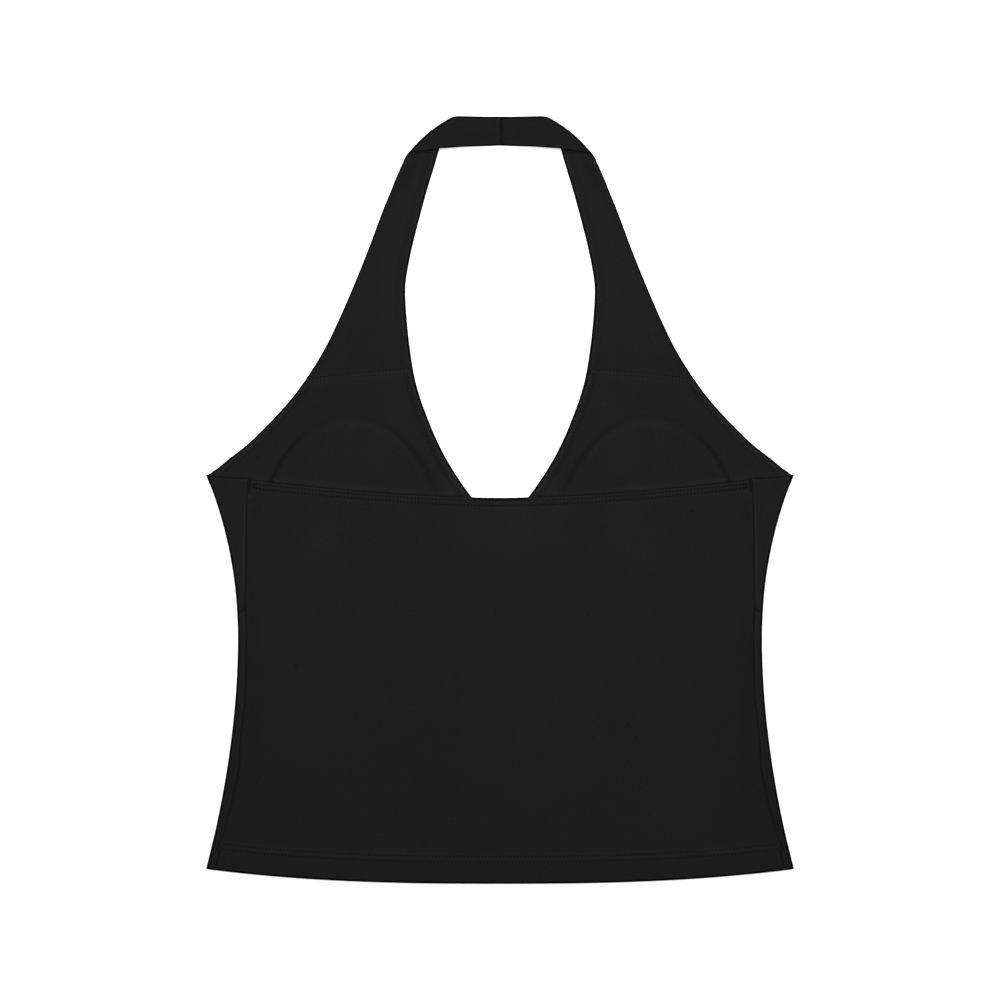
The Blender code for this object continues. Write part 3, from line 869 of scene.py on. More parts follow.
@dataclass
class ClothPiece:
    """A cut piece of cloth: a welded sheet of grids, shaped by lines and patches, given a wall."""

    finish: bpy.types.Material
    name: str = ""
    slot: str = "black_knit"
    wall: float = 0.00070
    rim_bulge: float = 0.00012
    rim_steps: int = 6
    facing: Facing = Facing.UP
    flat: tuple[float, float] = (0.1, 0.1)
    area: float = 0.01
    rests_on: tuple[str, ...] = ()
    stitch_pitch: float = STITCH_PITCH
    # edge_start is added to the edge distance, which narrows the painted edge shade
    edge_start: float = 0.0
    cut: Cut = CUT
    points: np.ndarray = field(default_factory=lambda: np.zeros((0, 3)))

    def grids(self) -> list[np.ndarray]:
        """Rows of points on the middle of the cloth, in patches that share borders."""
        raise NotImplementedError

    def lines(self) -> list[Line]:
        """The seams, edges and creases that shape the cloth and carry its painted light and shade."""
        return []

    def patches(self) -> list[Patch]:
        """The soft places of painted light and painted shade, some of them also swollen."""
        return []

    def rows(self) -> list[StitchRow]:
        """The stitched rows on the cloth."""
        return []

    def reference(self) -> np.ndarray:
        """A place where the cloth lies flat, with its visible face looking as facing says."""
        return np.array([0.0, -0.1, 0.0])

    def extra_wall(self, points: np.ndarray) -> np.ndarray:
        """More thickness where the cloth is turned over, for each point."""
        return np.zeros(len(points))

    def painted_shade_edge(self, points: np.ndarray) -> np.ndarray:
        """Which points of the border are on a turned, free edge and not in a seam, and so get the painted
        edge shade.
        """
        return np.ones(len(points), bool)

    def at_side_seam(self, points: np.ndarray) -> np.ndarray:
        """Which points are at the side seam behind."""
        x, y, z = points.T
        return (np.abs(np.abs(x) - self.cut.seam_half(y)) < 0.0006) & (z > self.cut.back_z - 0.0006)

    def broad_painted_light(self, points: np.ndarray) -> np.ndarray:
        """The painted light over the whole top, lighter towards the neck and darker towards the hem.

        Args:
            points: Positions on the middle of the cloth.

        Returns:
            A lightness for each point, about 1.
        """
        y = points[:, 1]
        fall = 0.02 * smooth_step((0.03 - y) / 0.08) + 0.08 * smooth_step((-0.05 - y) / 0.20)
        return 1.0 + 0.04 * smooth_step((y - 0.08) / 0.06) - fall

    def relief(self, points: np.ndarray) -> np.ndarray:
        """How far the cloth stands out from its plain sheet at each point.

        Args:
            points: Positions on the middle of the cloth.

        Returns:
            A height in metres for each point.
        """
        total = np.zeros(len(points))
        for feature in [*self.lines(), *self.patches()]:
            if feature.height:
                total += feature.height * feature.strength(points)
        for row in self.rows():
            total -= 0.00016 * Line(row.path, 0, 0.00075).strength(points)
        return total

    def tone(self, points: np.ndarray) -> np.ndarray:
        """How light the painted light and shade make the cloth at each point, where 1 is its plain colour.

        Args:
            points: Positions on the middle of the cloth.

        Returns:
            A lightness for each point.
        """
        value = self.broad_painted_light(points)
        for feature in [*self.lines(), *self.patches()]:
            if feature.tone:
                value *= 1 + feature.tone * feature.strength(points)
        return value

    def row_place(self, points: np.ndarray) -> tuple[np.ndarray, np.ndarray]:
        """Where each point lies by the nearest stitched row.

        Args:
            points: Positions on the middle of the cloth.

        Returns:
            How many stitches along the row it is, and how far off the row in metres.
        """
        along, off = np.zeros(len(points)), np.full(len(points), PAINTED_EDGE_REACH.far)
        for row in self.rows():
            near = np.all((points > row.path.min(0) - 0.004) & (points < row.path.max(0) + 0.004), axis=1)
            if not near.any():
                continue
            distance, travelled = nearest_on(row.path, points[near])
            distance += row.faint
            spacing = row.length / max(1, int(row.length / self.stitch_pitch))
            closer = distance < off[near]
            chosen = np.flatnonzero(near)[closer]
            off[chosen] = distance[closer]
            along[chosen] = travelled[closer] / spacing
        return along, off

    def welded(self) -> bmesh.types.BMesh:
        """Joins the grids into one open sheet whose visible face is its front.

        Returns:
            The sheet, for the caller to free.
        """
        grids = self.grids()
        corners, faces, start = [], [], 0
        for grid in grids:
            rows, columns = grid.shape[:2]
            index = start + np.arange(rows * columns).reshape(rows, columns)
            quads = np.stack([index[:-1, :-1], index[:-1, 1:], index[1:, 1:], index[1:, :-1]], axis=-1)
            corners.append(grid.reshape(-1, 3))
            faces.append(quads.reshape(-1, 4))
            start += rows * columns
        points, quads = np.vstack(corners), np.vstack(faces)
        keys = np.round((points + 3.17e-6) / 2e-5).astype(np.int64)
        _, first, inverse = np.unique(keys, axis=0, return_index=True, return_inverse=True)
        quads = inverse.reshape(-1)[quads]
        data = bpy.data.meshes.new("sheet")
        data.from_pydata(points[first].tolist(), [], quads.tolist())
        data.validate()
        sheet = bmesh.new()
        sheet.from_mesh(data)
        bpy.data.meshes.remove(data)
        bmesh.ops.recalc_face_normals(sheet, faces=sheet.faces)
        sheet.faces.ensure_lookup_table()
        centres = np.array([f.calc_center_median()[:] for f in sheet.faces])
        middle = sheet.faces[int(((centres - self.reference()) ** 2).sum(axis=1).argmin())]
        if middle.normal.z * self.facing.value < 0:
            bmesh.ops.reverse_faces(sheet, faces=sheet.faces)
        sheet.normal_update()
        return sheet

    def build(self) -> bpy.types.Object:
        """Makes the piece as one closed mesh with its attributes and finish, attached to the root in place of
        its part.

        Returns:
            The finished object.
        """
        sheet = self.welded()
        sheet.verts.ensure_lookup_table()
        mid = np.array([v.co[:] for v in sheet.verts])
        normal = np.array([v.normal[:] for v in sheet.verts])
        faces = np.array([[v.index for v in f.verts] for f in sheet.faces])
        border = [(e.link_loops[0].vert.index, e.link_loops[0].link_loop_next.vert.index)
                  for e in sheet.edges if e.is_boundary]
        sheet.free()
        self.points = mid
        wall = self.wall + self.extra_wall(mid)
        centre = mid + normal * self.relief(mid)[:, None]
        edge_points = mid[sorted({a for a, _ in border})]
        edge = self.edge_distance(mid, edge_points[self.painted_shade_edge(edge_points)])
        along, off = self.row_place(mid)
        # tone carries the painted light and shade; edge is the distance that places the painted shade and
        # highlight along edges
        carried = {"tone": self.tone(mid), "edge": edge, "row_along": along, "row_off": off}
        outward = np.zeros_like(mid)
        for a, b in border:
            side = np.cross(mid[b] - mid[a], normal[a])
            side /= max(np.linalg.norm(side), 1e-12)
            outward[a] += side
            outward[b] += side
        lengths = np.linalg.norm(outward, axis=1, keepdims=True)
        outward = np.divide(outward, lengths, out=np.zeros_like(outward), where=lengths > 0)
        count = len(mid)
        around = np.unique([a for a, _ in border])
        place = {int(v): k for k, v in enumerate(around)}
        half = (wall / 2)[:, None] * normal
        layers = [centre + half, centre - half]
        sources = [np.arange(count), np.arange(count)]
        angles = np.linspace(math.pi / 2, -math.pi / 2, self.rim_steps + 1)[1:-1]
        for angle in angles:
            ring = centre[around] + half[around] * math.sin(angle)
            layers.append(ring + outward[around] * self.rim_bulge * math.cos(angle))
            sources.append(around)
        top, bottom = faces, faces[:, ::-1] + count
        rim = []
        for a, b in border:
            chain_a = [a] + [2 * count + k * len(around) + place[a] for k in range(len(angles))] + [a + count]
            chain_b = [b] + [2 * count + k * len(around) + place[b] for k in range(len(angles))] + [b + count]
            for k in range(len(chain_a) - 1):
                rim.append((chain_b[k], chain_a[k], chain_a[k + 1], chain_b[k + 1]))
        data = bpy.data.meshes.new(self.name)
        data.from_pydata(np.vstack(layers).tolist(), [], [*top.tolist(), *bottom.tolist(), *rim])
        data.update()
        source = np.concatenate(sources)
        for key, values in carried.items():
            layer = data.attributes.new(key, "FLOAT", "POINT")
            layer.data.foreach_set("value", values[source].astype(np.float32))
        data.shade_smooth()
        data.materials.append(self.finish)
        piece = bpy.data.objects.new(f"{self.name}_cloth", data)
        bpy.context.scene.collection.objects.link(piece)
        self.declare(piece)
        return piece

    def edge_distance(self, points: np.ndarray, edge_points: np.ndarray) -> np.ndarray:
        """How far each point is from the nearest cut edge or folded side, which places the painted edge
        shade.

        Args:
            points: Positions on the middle of the cloth.
            edge_points: The corners of its border.

        Returns:
            A distance in metres for each point.
        """
        distance = np.full(len(points), PAINTED_EDGE_REACH.far)
        for low in range(0, len(points), 2000):
            near = points[low : low + 2000, None, :] - edge_points[None, :, :]
            distance[low : low + 2000] = np.sqrt((near**2).sum(axis=2)).min(axis=1)
        return np.minimum(distance + self.edge_start, PAINTED_EDGE_REACH.far)

    def declare(self, piece: bpy.types.Object) -> None:
        """Attaches the piece to the root body and hides the part of model.glb that it replaces.

        Args:
            piece: The finished object.
        """
        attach(piece, "root")
        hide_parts(self.name)


def across(y_of: Callable, low: float, high: float, z: float, count: int = 240) -> np.ndarray:
    """A path across the top that follows an edge.

    Args:
        y_of: Gives y at each x.
        low: The first x.
        high: The last x.
        z: The path's height.
        count: Its points.

    Returns:
        The path.
    """
    x = np.linspace(low, high, count)
    return np.stack([x, y_of(x), 0 * x + z], axis=1)


@dataclass(frozen=True)
class HemSizes:
    """Where the rows of a hem or turned edge lie, from its edge, and how deep and thick the turn is."""

    hem_low: float = 0.0148
    hem_high: float = 0.0183
    top_low: float = 0.0022
    top_high: float = 0.0054
    top_end_x: float = 0.1668
    neck_row: float = 0.0044
    arm_row: float = 0.0043
    join_row: float = 0.00135
    lining_set_back: float = 0.0008
    hem_turn: float = 0.0180
    hem_step: float = 0.0012
    top_turn: float = 0.0052
    top_step: float = 0.0010
    turned_wall: float = 0.00022


HEM = HemSizes()


@dataclass
class BackPanel(ClothPiece):
    """The back, from side seam to side seam, draped over the cups' lower parts."""

    name: str = "back_panel"
    flat: tuple[float, float] = (0.388, 0.264)
    area: float = 0.0935
    rests_on: tuple[str, ...] = ("bust_lining_cloth", "front_body_cloth")
    columns: int = 226
    top_rows: int = 16
    middle_rows: int = 112
    hem_rows: int = 34
    drape: tuple[float, float] = (1.0, 1.35)

    def grids(self) -> list[np.ndarray]:
        """One grid, crowded at the upper edge and the hem.

        Returns:
            The grid, alone in a list.
        """
        cut = self.cut
        hem, top = 0.085, 0.035
        shares = np.concatenate([
            np.linspace(0, hem, self.hem_rows, endpoint=False),
            np.linspace(hem, 1 - top, self.middle_rows, endpoint=False),
            np.linspace(1 - top, 1, self.top_rows + 1),
        ])
        low, high = cut.side_seam[0][0], cut.side_seam[-1][0]
        edge = cut.seam_half(low + (high - low) * shares)
        for _ in range(4):
            edge = cut.seam_half(cut.hem_y(edge) + (cut.back_edge_y(edge) - cut.hem_y(edge)) * shares)
        edge = edge - 0.00012
        x = edge[:, None] * np.linspace(-1, 1, self.columns + 1)[None, :]
        y = cut.hem_y(x) + (cut.back_edge_y(x) - cut.hem_y(x)) * shares[:, None]
        return [np.dstack([x, y, cut.back_z + CUP.lift(x, y, *self.drape)])]

    def rows(self) -> list[StitchRow]:
        """Twin rows above the hem and under the upper edge, closed at the ends.

        Returns:
            The rows.
        """
        cut, z = self.cut, self.cut.back_z
        rows = []
        for rise in (HEM.hem_low, HEM.hem_high):
            half = float(cut.seam_half(cut.hem_y(0.19) + rise)) - 0.0008
            rows.append(StitchRow(across(lambda x: cut.hem_y(x) + rise, -half, half, z)))
        for drop in (HEM.top_low, HEM.top_high):
            path = across(lambda x: cut.back_edge_y(x) - drop, -HEM.top_end_x, HEM.top_end_x, z)
            path[:, 2] += CUP.lift(path[:, 0], path[:, 1], *self.drape)
            rows.append(StitchRow(path))
        for side in Side:
            x = side.value * HEM.top_end_x
            y = float(cut.back_edge_y(np.array(x)))
            rows.append(StitchRow(np.array([(x, y - HEM.top_low, z), (x, y - HEM.top_high, z)])))
        return rows

    def extra_wall(self, points: np.ndarray) -> np.ndarray:
        """The turned hem and the turned upper edge are two layers.

        Args:
            points: Positions on the middle of the cloth.

        Returns:
            The added thickness at each point.
        """
        above_hem = points[:, 1] - self.cut.hem_y(points[:, 0])
        below_top = self.cut.back_edge_y(points[:, 0]) - points[:, 1]
        hem = 1 - smooth_step((above_hem - HEM.hem_turn) / HEM.hem_step)
        top = 1 - smooth_step((below_top - HEM.top_turn) / HEM.top_step)
        return HEM.turned_wall * hem + HEM.turned_wall * top

    def painted_shade_edge(self, points: np.ndarray) -> np.ndarray:
        """The hem and the upper edge."""
        return ~self.at_side_seam(points)

    def edge_distance(self, points: np.ndarray, edge_points: np.ndarray) -> np.ndarray:
        """How far each point is from the hem or the upper edge, for the painted edge shade, which is thinner
        over the lining.

        Args:
            points: Positions on the middle of the cloth.
            edge_points: The corners of its border.

        Returns:
            A distance in metres for each point.
        """
        beside = smooth_step((np.abs(points[:, 0]) - PAINTED_EDGE_REACH.keyhole_half) / PAINTED_EDGE_REACH.keyhole_step)
        over_lining = beside * (points[:, 1] > -0.1)
        distance = super().edge_distance(points, edge_points)
        return distance + PAINTED_EDGE_REACH.over_lining * over_lining - PAINTED_EDGE_REACH.hem

    def lines(self) -> list[Line]:
        """Side seams with painted shade, painted highlight lines by the rows, drag lines with painted
        highlight and shade, and creases.

        Returns:
            The lines.
        """
        cut, z = self.cut, self.cut.back_z
        made = []
        for side in Side:
            # painted shade along the side seam's groove
            y = np.linspace(-0.2300, -0.0060, 80)
            x = side.value * (cut.seam_half(y) - 0.0004)
            made.append(Line(np.stack([x, y, 0 * y + z], 1), -0.00020, 0.0008, -0.24, True))
            y = np.linspace(-0.2502, -0.2380, 10)
            x = side.value * (cut.seam_half(y) - 0.0004)
            made.append(Line(np.stack([x, y, 0 * y + z], 1), -0.00016, 0.0008, -0.30))
            # painted shade in the gap where the side seam meets the upper edge
            y = np.linspace(0.0062, 0.0138, 8)
            x = side.value * (cut.seam_half(y) - 0.0010)
            made.append(Line(np.stack([x, y, 0 * y + z], 1), -0.00045, 0.0008, -0.85))
            s = side.value
            # drag lines: a painted highlight on the ridge, painted shade in the trough
            drag = [(s * 0.1714, 0.0010, z), (s * 0.1664, 0.0046, z)]
            made.append(Line(np.array(drag), 0.00035, 0.0012, 0.26, True))
            drag = [(s * 0.1690, -0.0140, z), (s * 0.1610, 0.0010, z)]
            made.append(Line(np.array(drag), -0.00022, 0.0016, -0.08, True))
            # painted shade on the bar that closes the rows and along the rows' ends
            x, y = s * HEM.top_end_x, float(cut.back_edge_y(np.array(HEM.top_end_x)))
            end = [(x, y - HEM.top_low, z), (x, y - HEM.top_high, z)]
            made.append(Line(np.array(end), -0.00020, 0.0007, -0.60))
            for low, high, tone in ((0.152, 0.167, -0.42), (0.120, 0.154, -0.22)):
                path = across(lambda x: cut.back_edge_y(x) - HEM.top_high, s * low, s * high, z, 12)
                made.append(Line(path, -0.00010, 0.0008, tone))
                path = across(lambda x: cut.back_edge_y(x) - HEM.top_low, s * low, s * high, z, 12)
                made.append(Line(path, -0.00008, 0.0006, tone * 0.6))
        # painted highlight along the ridges by the hem rows
        half = 0.1880
        made.append(Line(across(lambda x: cut.hem_y(x) + 0.0198, -half, half, z), 0.00008, 0.0009, 0.10))
        made.append(Line(across(lambda x: cut.hem_y(x) + 0.0166, -half, half, z), 0.00006, 0.0008, 0.10))
        # a ridge under the upper edge, with a little painted shade
        half = 0.1660
        lifted = across(lambda x: cut.back_edge_y(x) - 0.0038, -half, half, z)
        lifted[:, 2] += CUP.lift(lifted[:, 0], lifted[:, 1], 1.0, 1.35)
        made.append(Line(lifted, 0.00012, 0.0009, -0.03))
        # start and end across and along, height and width, in millimetres
        creases = (
            (-128, -12, -131, -38, -0.55, 6.0),
            (-119, -10, -115, -44, 0.45, 8.0),
            (-96, -14, -101, -58, -0.50, 7.0),
            (-54, -8, -49, -30, -0.55, 4.5),
            (-60, -9, -58, -28, 0.40, 4.0),
            (-46, -8, -41, -27, 0.35, 4.0),
            (78, -4, 84, -34, -0.50, 4.5),
            (88, -6, 92, -48, 0.55, 8.0),
            (99, -8, 104, -40, -0.35, 6.0),
            (148, -10, 153, -28, -0.40, 6.0),
            (141, -12, 136, -40, 0.35, 7.0),
            (-66, -122, -118, -196, -0.60, 9.0),
            (-52, -128, -96, -200, 0.45, 10.0),
            (-150, -118, -160, -205, -0.50, 9.0),
            (60, -150, 108, -206, -0.35, 11.0),
            (128, -140, 131, -204, 0.45, 9.0),
            (150, -110, 161, -190, -0.45, 8.0),
            (14, -118, 8, -152, 0.35, 10.0),
            (-24, -60, -52, -118, 0.25, 12.0),
            (36, -48, 64, -110, 0.22, 12.0),
            (-168, -40, -162, -92, 0.30, 5.0),
            (167, -46, 161, -98, 0.28, 5.0),
            (-96, -226, -72, -236, -0.20, 5.0),
            (52, -228, 88, -235, -0.22, 5.0),
        )
        return made + [crease(*c, z) for c in creases]

    def patches(self) -> list[Patch]:
        """Places of painted light and painted shade.

        Returns:
            The patches.
        """
        return [
            Patch(0.004, -0.018, 0.034, 0.022, 0.11, 0.00045),
            Patch(0.092, -0.036, 0.020, 0.026, 0.06, 0.00030),
            Patch(-0.118, -0.034, 0.016, 0.022, 0.05),
            Patch(-0.105, -0.050, 0.012, 0.012, -0.06),
            Patch(0.128, -0.022, 0.012, 0.014, -0.05),
            Patch(-0.150, -0.190, 0.036, 0.050, -0.03),
            Patch(0.158, -0.150, 0.018, 0.060, -0.04),
            Patch(0.012, -0.148, 0.026, 0.026, 0.05),
            Patch(0.128, -0.182, 0.026, 0.040, 0.06),
            Patch(-0.060, -0.160, 0.050, 0.036, -0.04, 0.0, 30.0),
            Patch(0.000, -0.256, 0.120, 0.012, -0.06),
            Patch(-0.169, -0.100, 0.006, 0.090, -0.07),
            Patch(0.169, -0.100, 0.006, 0.090, -0.07),
            Patch(-0.182, -0.205, 0.018, 0.040, -0.08),
            Patch(0.182, -0.205, 0.018, 0.044, -0.08),
            Patch(-0.163, -0.006, 0.008, 0.013, -0.08, 0.0, -20.0),
            Patch(0.163, -0.006, 0.008, 0.013, -0.07, 0.0, 20.0),
        ]


@dataclass
class FrontBody(ClothPiece):
    """The lower front, face down, with the stretches that wrap round the sides to the back."""

    name: str = "front_body"
    facing: Facing = Facing.DOWN
    flat: tuple[float, float] = (0.420, 0.186)
    area: float = 0.0676
    columns: int = 76
    body_rows: int = 116
    fold_steps: int = 12
    behind_columns: int = 12

    def grids(self) -> list[np.ndarray]:
        """A grid for each half, from the centre front round the side.

        Returns:
            The left grid, then the right.
        """
        cut = self.cut
        hem = 0.13
        shares = np.concatenate([
            np.linspace(0, hem, 36, endpoint=False),
            np.linspace(hem, 1, self.body_rows - 36 + 1),
        ])
        side_low, side_high = float(cut.hem_y(cut.hem_half)), cut.underbust_side_y - cut.gap / 2
        side_y = side_low + (side_high - side_low) * shares
        edge = cut.side_half(side_y) - cut.side_fold_reach
        x = edge[:, None] * np.linspace(0, 1, self.columns, endpoint=False)[None, :]
        low, high = cut.hem_y(x), cut.underbust_y(x) - cut.gap / 2
        flat = raised(np.dstack([x, low + (high - low) * shares[:, None]]), cut.front_z)
        behind_low = float(cut.hem_y(cut.seam_half(side_low)))
        behind = behind_low + (side_high + cut.underbust_behind_rise - behind_low) * shares
        wrap = cut.side_fold(side_y, behind, self.fold_steps, self.behind_columns)
        whole = np.concatenate([flat, wrap], axis=1)
        return [mirrored(whole, side) for side in Side]

    def rows(self) -> list[StitchRow]:
        """The hem's twin rows, on the front and on both stretches behind.

        Returns:
            The rows.
        """
        cut = self.cut
        rows = []
        for rise in (HEM.hem_low, HEM.hem_high):
            half = float(cut.side_half(np.array(-0.24))) - 0.004
            path = across(lambda x: cut.hem_y(x) + rise, -half, half, cut.front_z)
            rows.append(StitchRow(path, up=-1))
            for side in Side:
                y = float(cut.hem_y(0.195)) + rise
                low, high = float(cut.seam_half(y)) + 0.0004, float(cut.side_half(np.array(y))) - 0.0008
                ends = sorted((side.value * low, side.value * high))
                rows.append(StitchRow(across(lambda x: cut.hem_y(x) + rise, *ends, cut.back_z, 8)))
        return rows

    def broad_painted_light(self, points: np.ndarray) -> np.ndarray:
        """The painted light over the top, darker down the stretches behind."""
        return super().broad_painted_light(points) * (1 - 0.10 * smooth_step((-0.10 - points[:, 1]) / 0.08))

    def extra_wall(self, points: np.ndarray) -> np.ndarray:
        """The turned hem is two layers."""
        above_hem = points[:, 1] - self.cut.hem_y(points[:, 0])
        return HEM.turned_wall * (1 - smooth_step((above_hem - HEM.hem_turn) / HEM.hem_step))

    def painted_shade_edge(self, points: np.ndarray) -> np.ndarray:
        """The hem."""
        return points[:, 1] < self.cut.hem_y(points[:, 0]) + 0.0008

    def edge_distance(self, points: np.ndarray, edge_points: np.ndarray) -> np.ndarray:
        """How far each point is from the hem or the folded side, for the painted edge shade."""
        fold = self.cut.side_half(points[:, 1]) - np.abs(points[:, 0]) - PAINTED_EDGE_REACH.fold
        return np.minimum(super().edge_distance(points, edge_points) - PAINTED_EDGE_REACH.hem, fold)

    def lines(self) -> list[Line]:
        """The proud edge along each side seam with its painted highlight, the seam's line of painted shade,
        painted shade along the seam under the bust, and creases on the front.

        Returns:
            The lines.
        """
        cut = self.cut
        made = []
        for side in Side:
            # painted highlight on the proud edge beside each side seam, painted shade in the seam
            y = np.linspace(-0.2200, cut.underbust_side_y, 60)
            x = side.value * (cut.seam_half(y) + 0.0015)
            made.append(Line(np.stack([x, y, 0 * y + cut.back_z], 1), 0.00022, 0.0008, 0.15, True))
            x = side.value * (cut.seam_half(y) + 0.0002)
            made.append(Line(np.stack([x, y, 0 * y + cut.back_z], 1), -0.00016, 0.0005, -0.22, True))
            y = np.linspace(-0.2502, -0.2400, 8)
            x = side.value * (cut.seam_half(y) + 0.0012)
            made.append(Line(np.stack([x, y, 0 * y + cut.back_z], 1), 0.00020, 0.0008, 0.22))
            low = (side.value * 0.1738, cut.underbust_side_y + 0.0004, cut.back_z)
            high = (side.value * 0.1785, cut.underbust_side_y - 0.0014, cut.back_z)
            made.append(Line(np.array([low, high]), 0.00020, 0.0012, 0.24))
        # painted shade along the seam under the bust
        seam = across(lambda x: cut.underbust_y(x) - 0.0012, -0.176, 0.176, cut.front_z)
        made.append(Line(seam, -0.00014, 0.0014, -0.12))
        creases = (
            (-70, -96, -84, -170, -0.16, 8.0),
            (34, -100, 52, -186, -0.18, 9.0),
            (120, -110, 140, -176, -0.16, 8.0),
            (-148, -120, -160, -206, -0.16, 8.0),
            (-18, -150, -30, -214, -0.14, 8.0),
            (90, -190, 64, -226, -0.14, 7.0),
        )
        return made + [crease(*c, cut.front_z) for c in creases]


@dataclass
class FrontBust(ClothPiece):
    """The upper front, face down: bust, straps folded over at the shoulders, and the neck band."""

    name: str = "front_bust"
    facing: Facing = Facing.DOWN
    flat: tuple[float, float] = (0.460, 0.398)
    area: float = 0.0679
    columns: int = 56
    low_rows: int = 44
    strap_rows: int = 120
    band_rows: int = 44
    fold_steps: int = 12
    behind_columns: int = 14

    def reference(self) -> np.ndarray:
        """The flat front between the cups."""
        return np.array([0.0, -0.05, 0.0])

    def grids(self) -> list[np.ndarray]:
        """The bust, strap, shoulder fold, neck band and side wrap of each half.

        Returns:
            The five grids of the left half, then those of the right.
        """
        cut = self.cut
        shares = np.linspace(0, 1, self.low_rows + 1)
        columns = np.linspace(0, 1, self.columns + 1)
        shoulder = cut.shoulder_fold(self.columns, cut.shoulder_fold_z - cut.front_z, 0, self.fold_steps)
        strap_shares = np.linspace(0, 1, self.strap_rows + 1)
        neck, arm = (sampled(curve, strap_shares) for curve in cut.strap_edges())
        bottom = float(cut.underbust_y(0)) + cut.gap / 2
        inner = np.stack([0 * shares, bottom + (cut.neckline[0][1] - bottom) * shares], 1)
        start_y = cut.underbust_side_y + cut.gap / 2
        side_y = start_y + (cut.underarm_y - start_y) * shares
        outer = np.stack([cut.side_half(side_y) - cut.side_fold_reach, side_y], 1)
        low = between(inner, outer, columns)
        low[..., 1] += cut.underbust_bow(shares, columns)
        arm[0] = outer[-1]
        high = raised(between(neck, arm, columns), cut.front_z)
        high[-1] = shoulder[0]
        behind_low = cut.underbust_side_y + cut.underbust_behind_rise + cut.gap / 2
        behind = behind_low + (cut.side_seam[-1][0] - behind_low) * shares
        wrap = cut.side_fold(side_y, behind, self.fold_steps, self.behind_columns)
        band = cut.neck_band(shoulder[-1], cut.lining_z, 0, self.band_rows)
        half = [raised(low, cut.front_z), high, shoulder, band, wrap]
        return [mirrored(cut.swell(grid), side) for side in Side for grid in half]

    def rows(self) -> list[StitchRow]:
        """The row inside the neckline and the armhole, as they show on the face.

        Returns:
            The rows.
        """
        cut = self.cut
        rows = []
        for side in Side:
            neck, arm = cut.strap_edges()
            for curve, move, shares in (
                (neck, -HEM.neck_row, np.linspace(0.03, 0.985, 160)),
                (arm, HEM.arm_row, np.linspace(0.03, 0.36, 80)),
            ):
                plan = sampled(inset(curve, move), shares)
                path = np.column_stack([plan, np.full(len(plan), cut.front_z)])
                rows.append(StitchRow(path * np.array([side.value, 1, 1]), up=-1))
        return rows

    def broad_painted_light(self, points: np.ndarray) -> np.ndarray:
        """The painted light over the top, a little darker on the neck band."""
        band = smooth_step((points[:, 1] - 0.232) / 0.006) * (points[:, 2] > 0.0012)
        return super().broad_painted_light(points) * (1 - 0.13 * band)

    def painted_shade_edge(self, points: np.ndarray) -> np.ndarray:
        """The neckline, the armholes and the edges of the neck band."""
        in_seam = (points[:, 1] < self.cut.underbust_side_y + 0.003) | (np.abs(points[:, 0]) < 0.0008)
        return ~(in_seam | self.at_side_seam(points)) | (points[:, 1] > 0.0155) & (points[:, 1] < 0.2)

    def edge_distance(self, points: np.ndarray, edge_points: np.ndarray) -> np.ndarray:
        """How far each point is from a free edge, the folded side or the shoulder fold, for the painted edge
        shade.

        Args:
            points: Positions on the middle of the cloth.
            edge_points: The corners of its border.

        Returns:
            A distance in metres for each point.
        """
        cut = self.cut
        x, y, _ = points.T
        distance = super().edge_distance(points, edge_points)
        underarm = (y > 0.012) & (y < 0.03) & (points[:, 2] > cut.back_z - 0.0008)
        distance = distance + PAINTED_EDGE_REACH.underarm * underarm
        fold = np.where(y < cut.underarm_y, cut.side_half(y) - np.abs(x) - PAINTED_EDGE_REACH.fold, PAINTED_EDGE_REACH.far)
        dx, dy = np.abs(x) - cut.fold_centre[0], y - cut.fold_centre[1]
        bearing = np.degrees(np.arctan2(dy, dx))
        reach = np.hypot(dx, dy)
        mouth = (bearing > 31) & (bearing < 41) & (reach > 0.082) & (points[:, 2] > 0.0008)
        over_strap = (np.abs(x) > 0.0415) & (y > 0.2345) & (points[:, 2] > cut.back_z - 0.0014)
        distance = distance + PAINTED_EDGE_REACH.over_strap * (mouth | over_strap)
        in_arc = (bearing > 40) & (bearing < 65)
        arc = np.where(in_arc, np.abs(cut.fold_radius - reach) - PAINTED_EDGE_REACH.fold, PAINTED_EDGE_REACH.far)
        return np.minimum(np.minimum(distance, fold), arc)

    def lines(self) -> list[Line]:
        """Side seams and the centre back seam of the neck band, with painted highlights on their ridges and
        painted shade in their grooves, and creases.

        Returns:
            The lines.
        """
        cut = self.cut
        made = []
        for side in Side:
            s = side.value
            # painted highlight on the proud edge of each side seam, painted shade in the seam and by the
            # underarm
            y = np.linspace(cut.underbust_side_y, 0.0135, 60)
            x = s * (cut.seam_half(y) + 0.0015)
            made.append(Line(np.stack([x, y, 0 * y + cut.back_z], 1), 0.00028, 0.0008, 0.20))
            x = s * (cut.seam_half(y) + 0.0002)
            made.append(Line(np.stack([x, y, 0 * y + cut.back_z], 1), -0.00016, 0.0005, -0.22))
            low = (s * 0.1738, cut.underbust_side_y + 0.0032, cut.back_z)
            high = (s * 0.1790, cut.underbust_side_y + 0.0012, cut.back_z)
            made.append(Line(np.array([low, high]), 0.00022, 0.0010, -0.25))
            made.append(Line(np.array([(s * 0.178, 0.011, cut.back_z), (s * 0.192, 0.013, cut.back_z)]),
                             -0.00018, 0.0016, -0.10, True))
            made.append(Line(np.array([(s * 0.181, -0.014, cut.back_z), (s * 0.189, 0.004, cut.back_z)]),
                             0.00022, 0.0030, 0.04, True))
        z = cut.lining_z
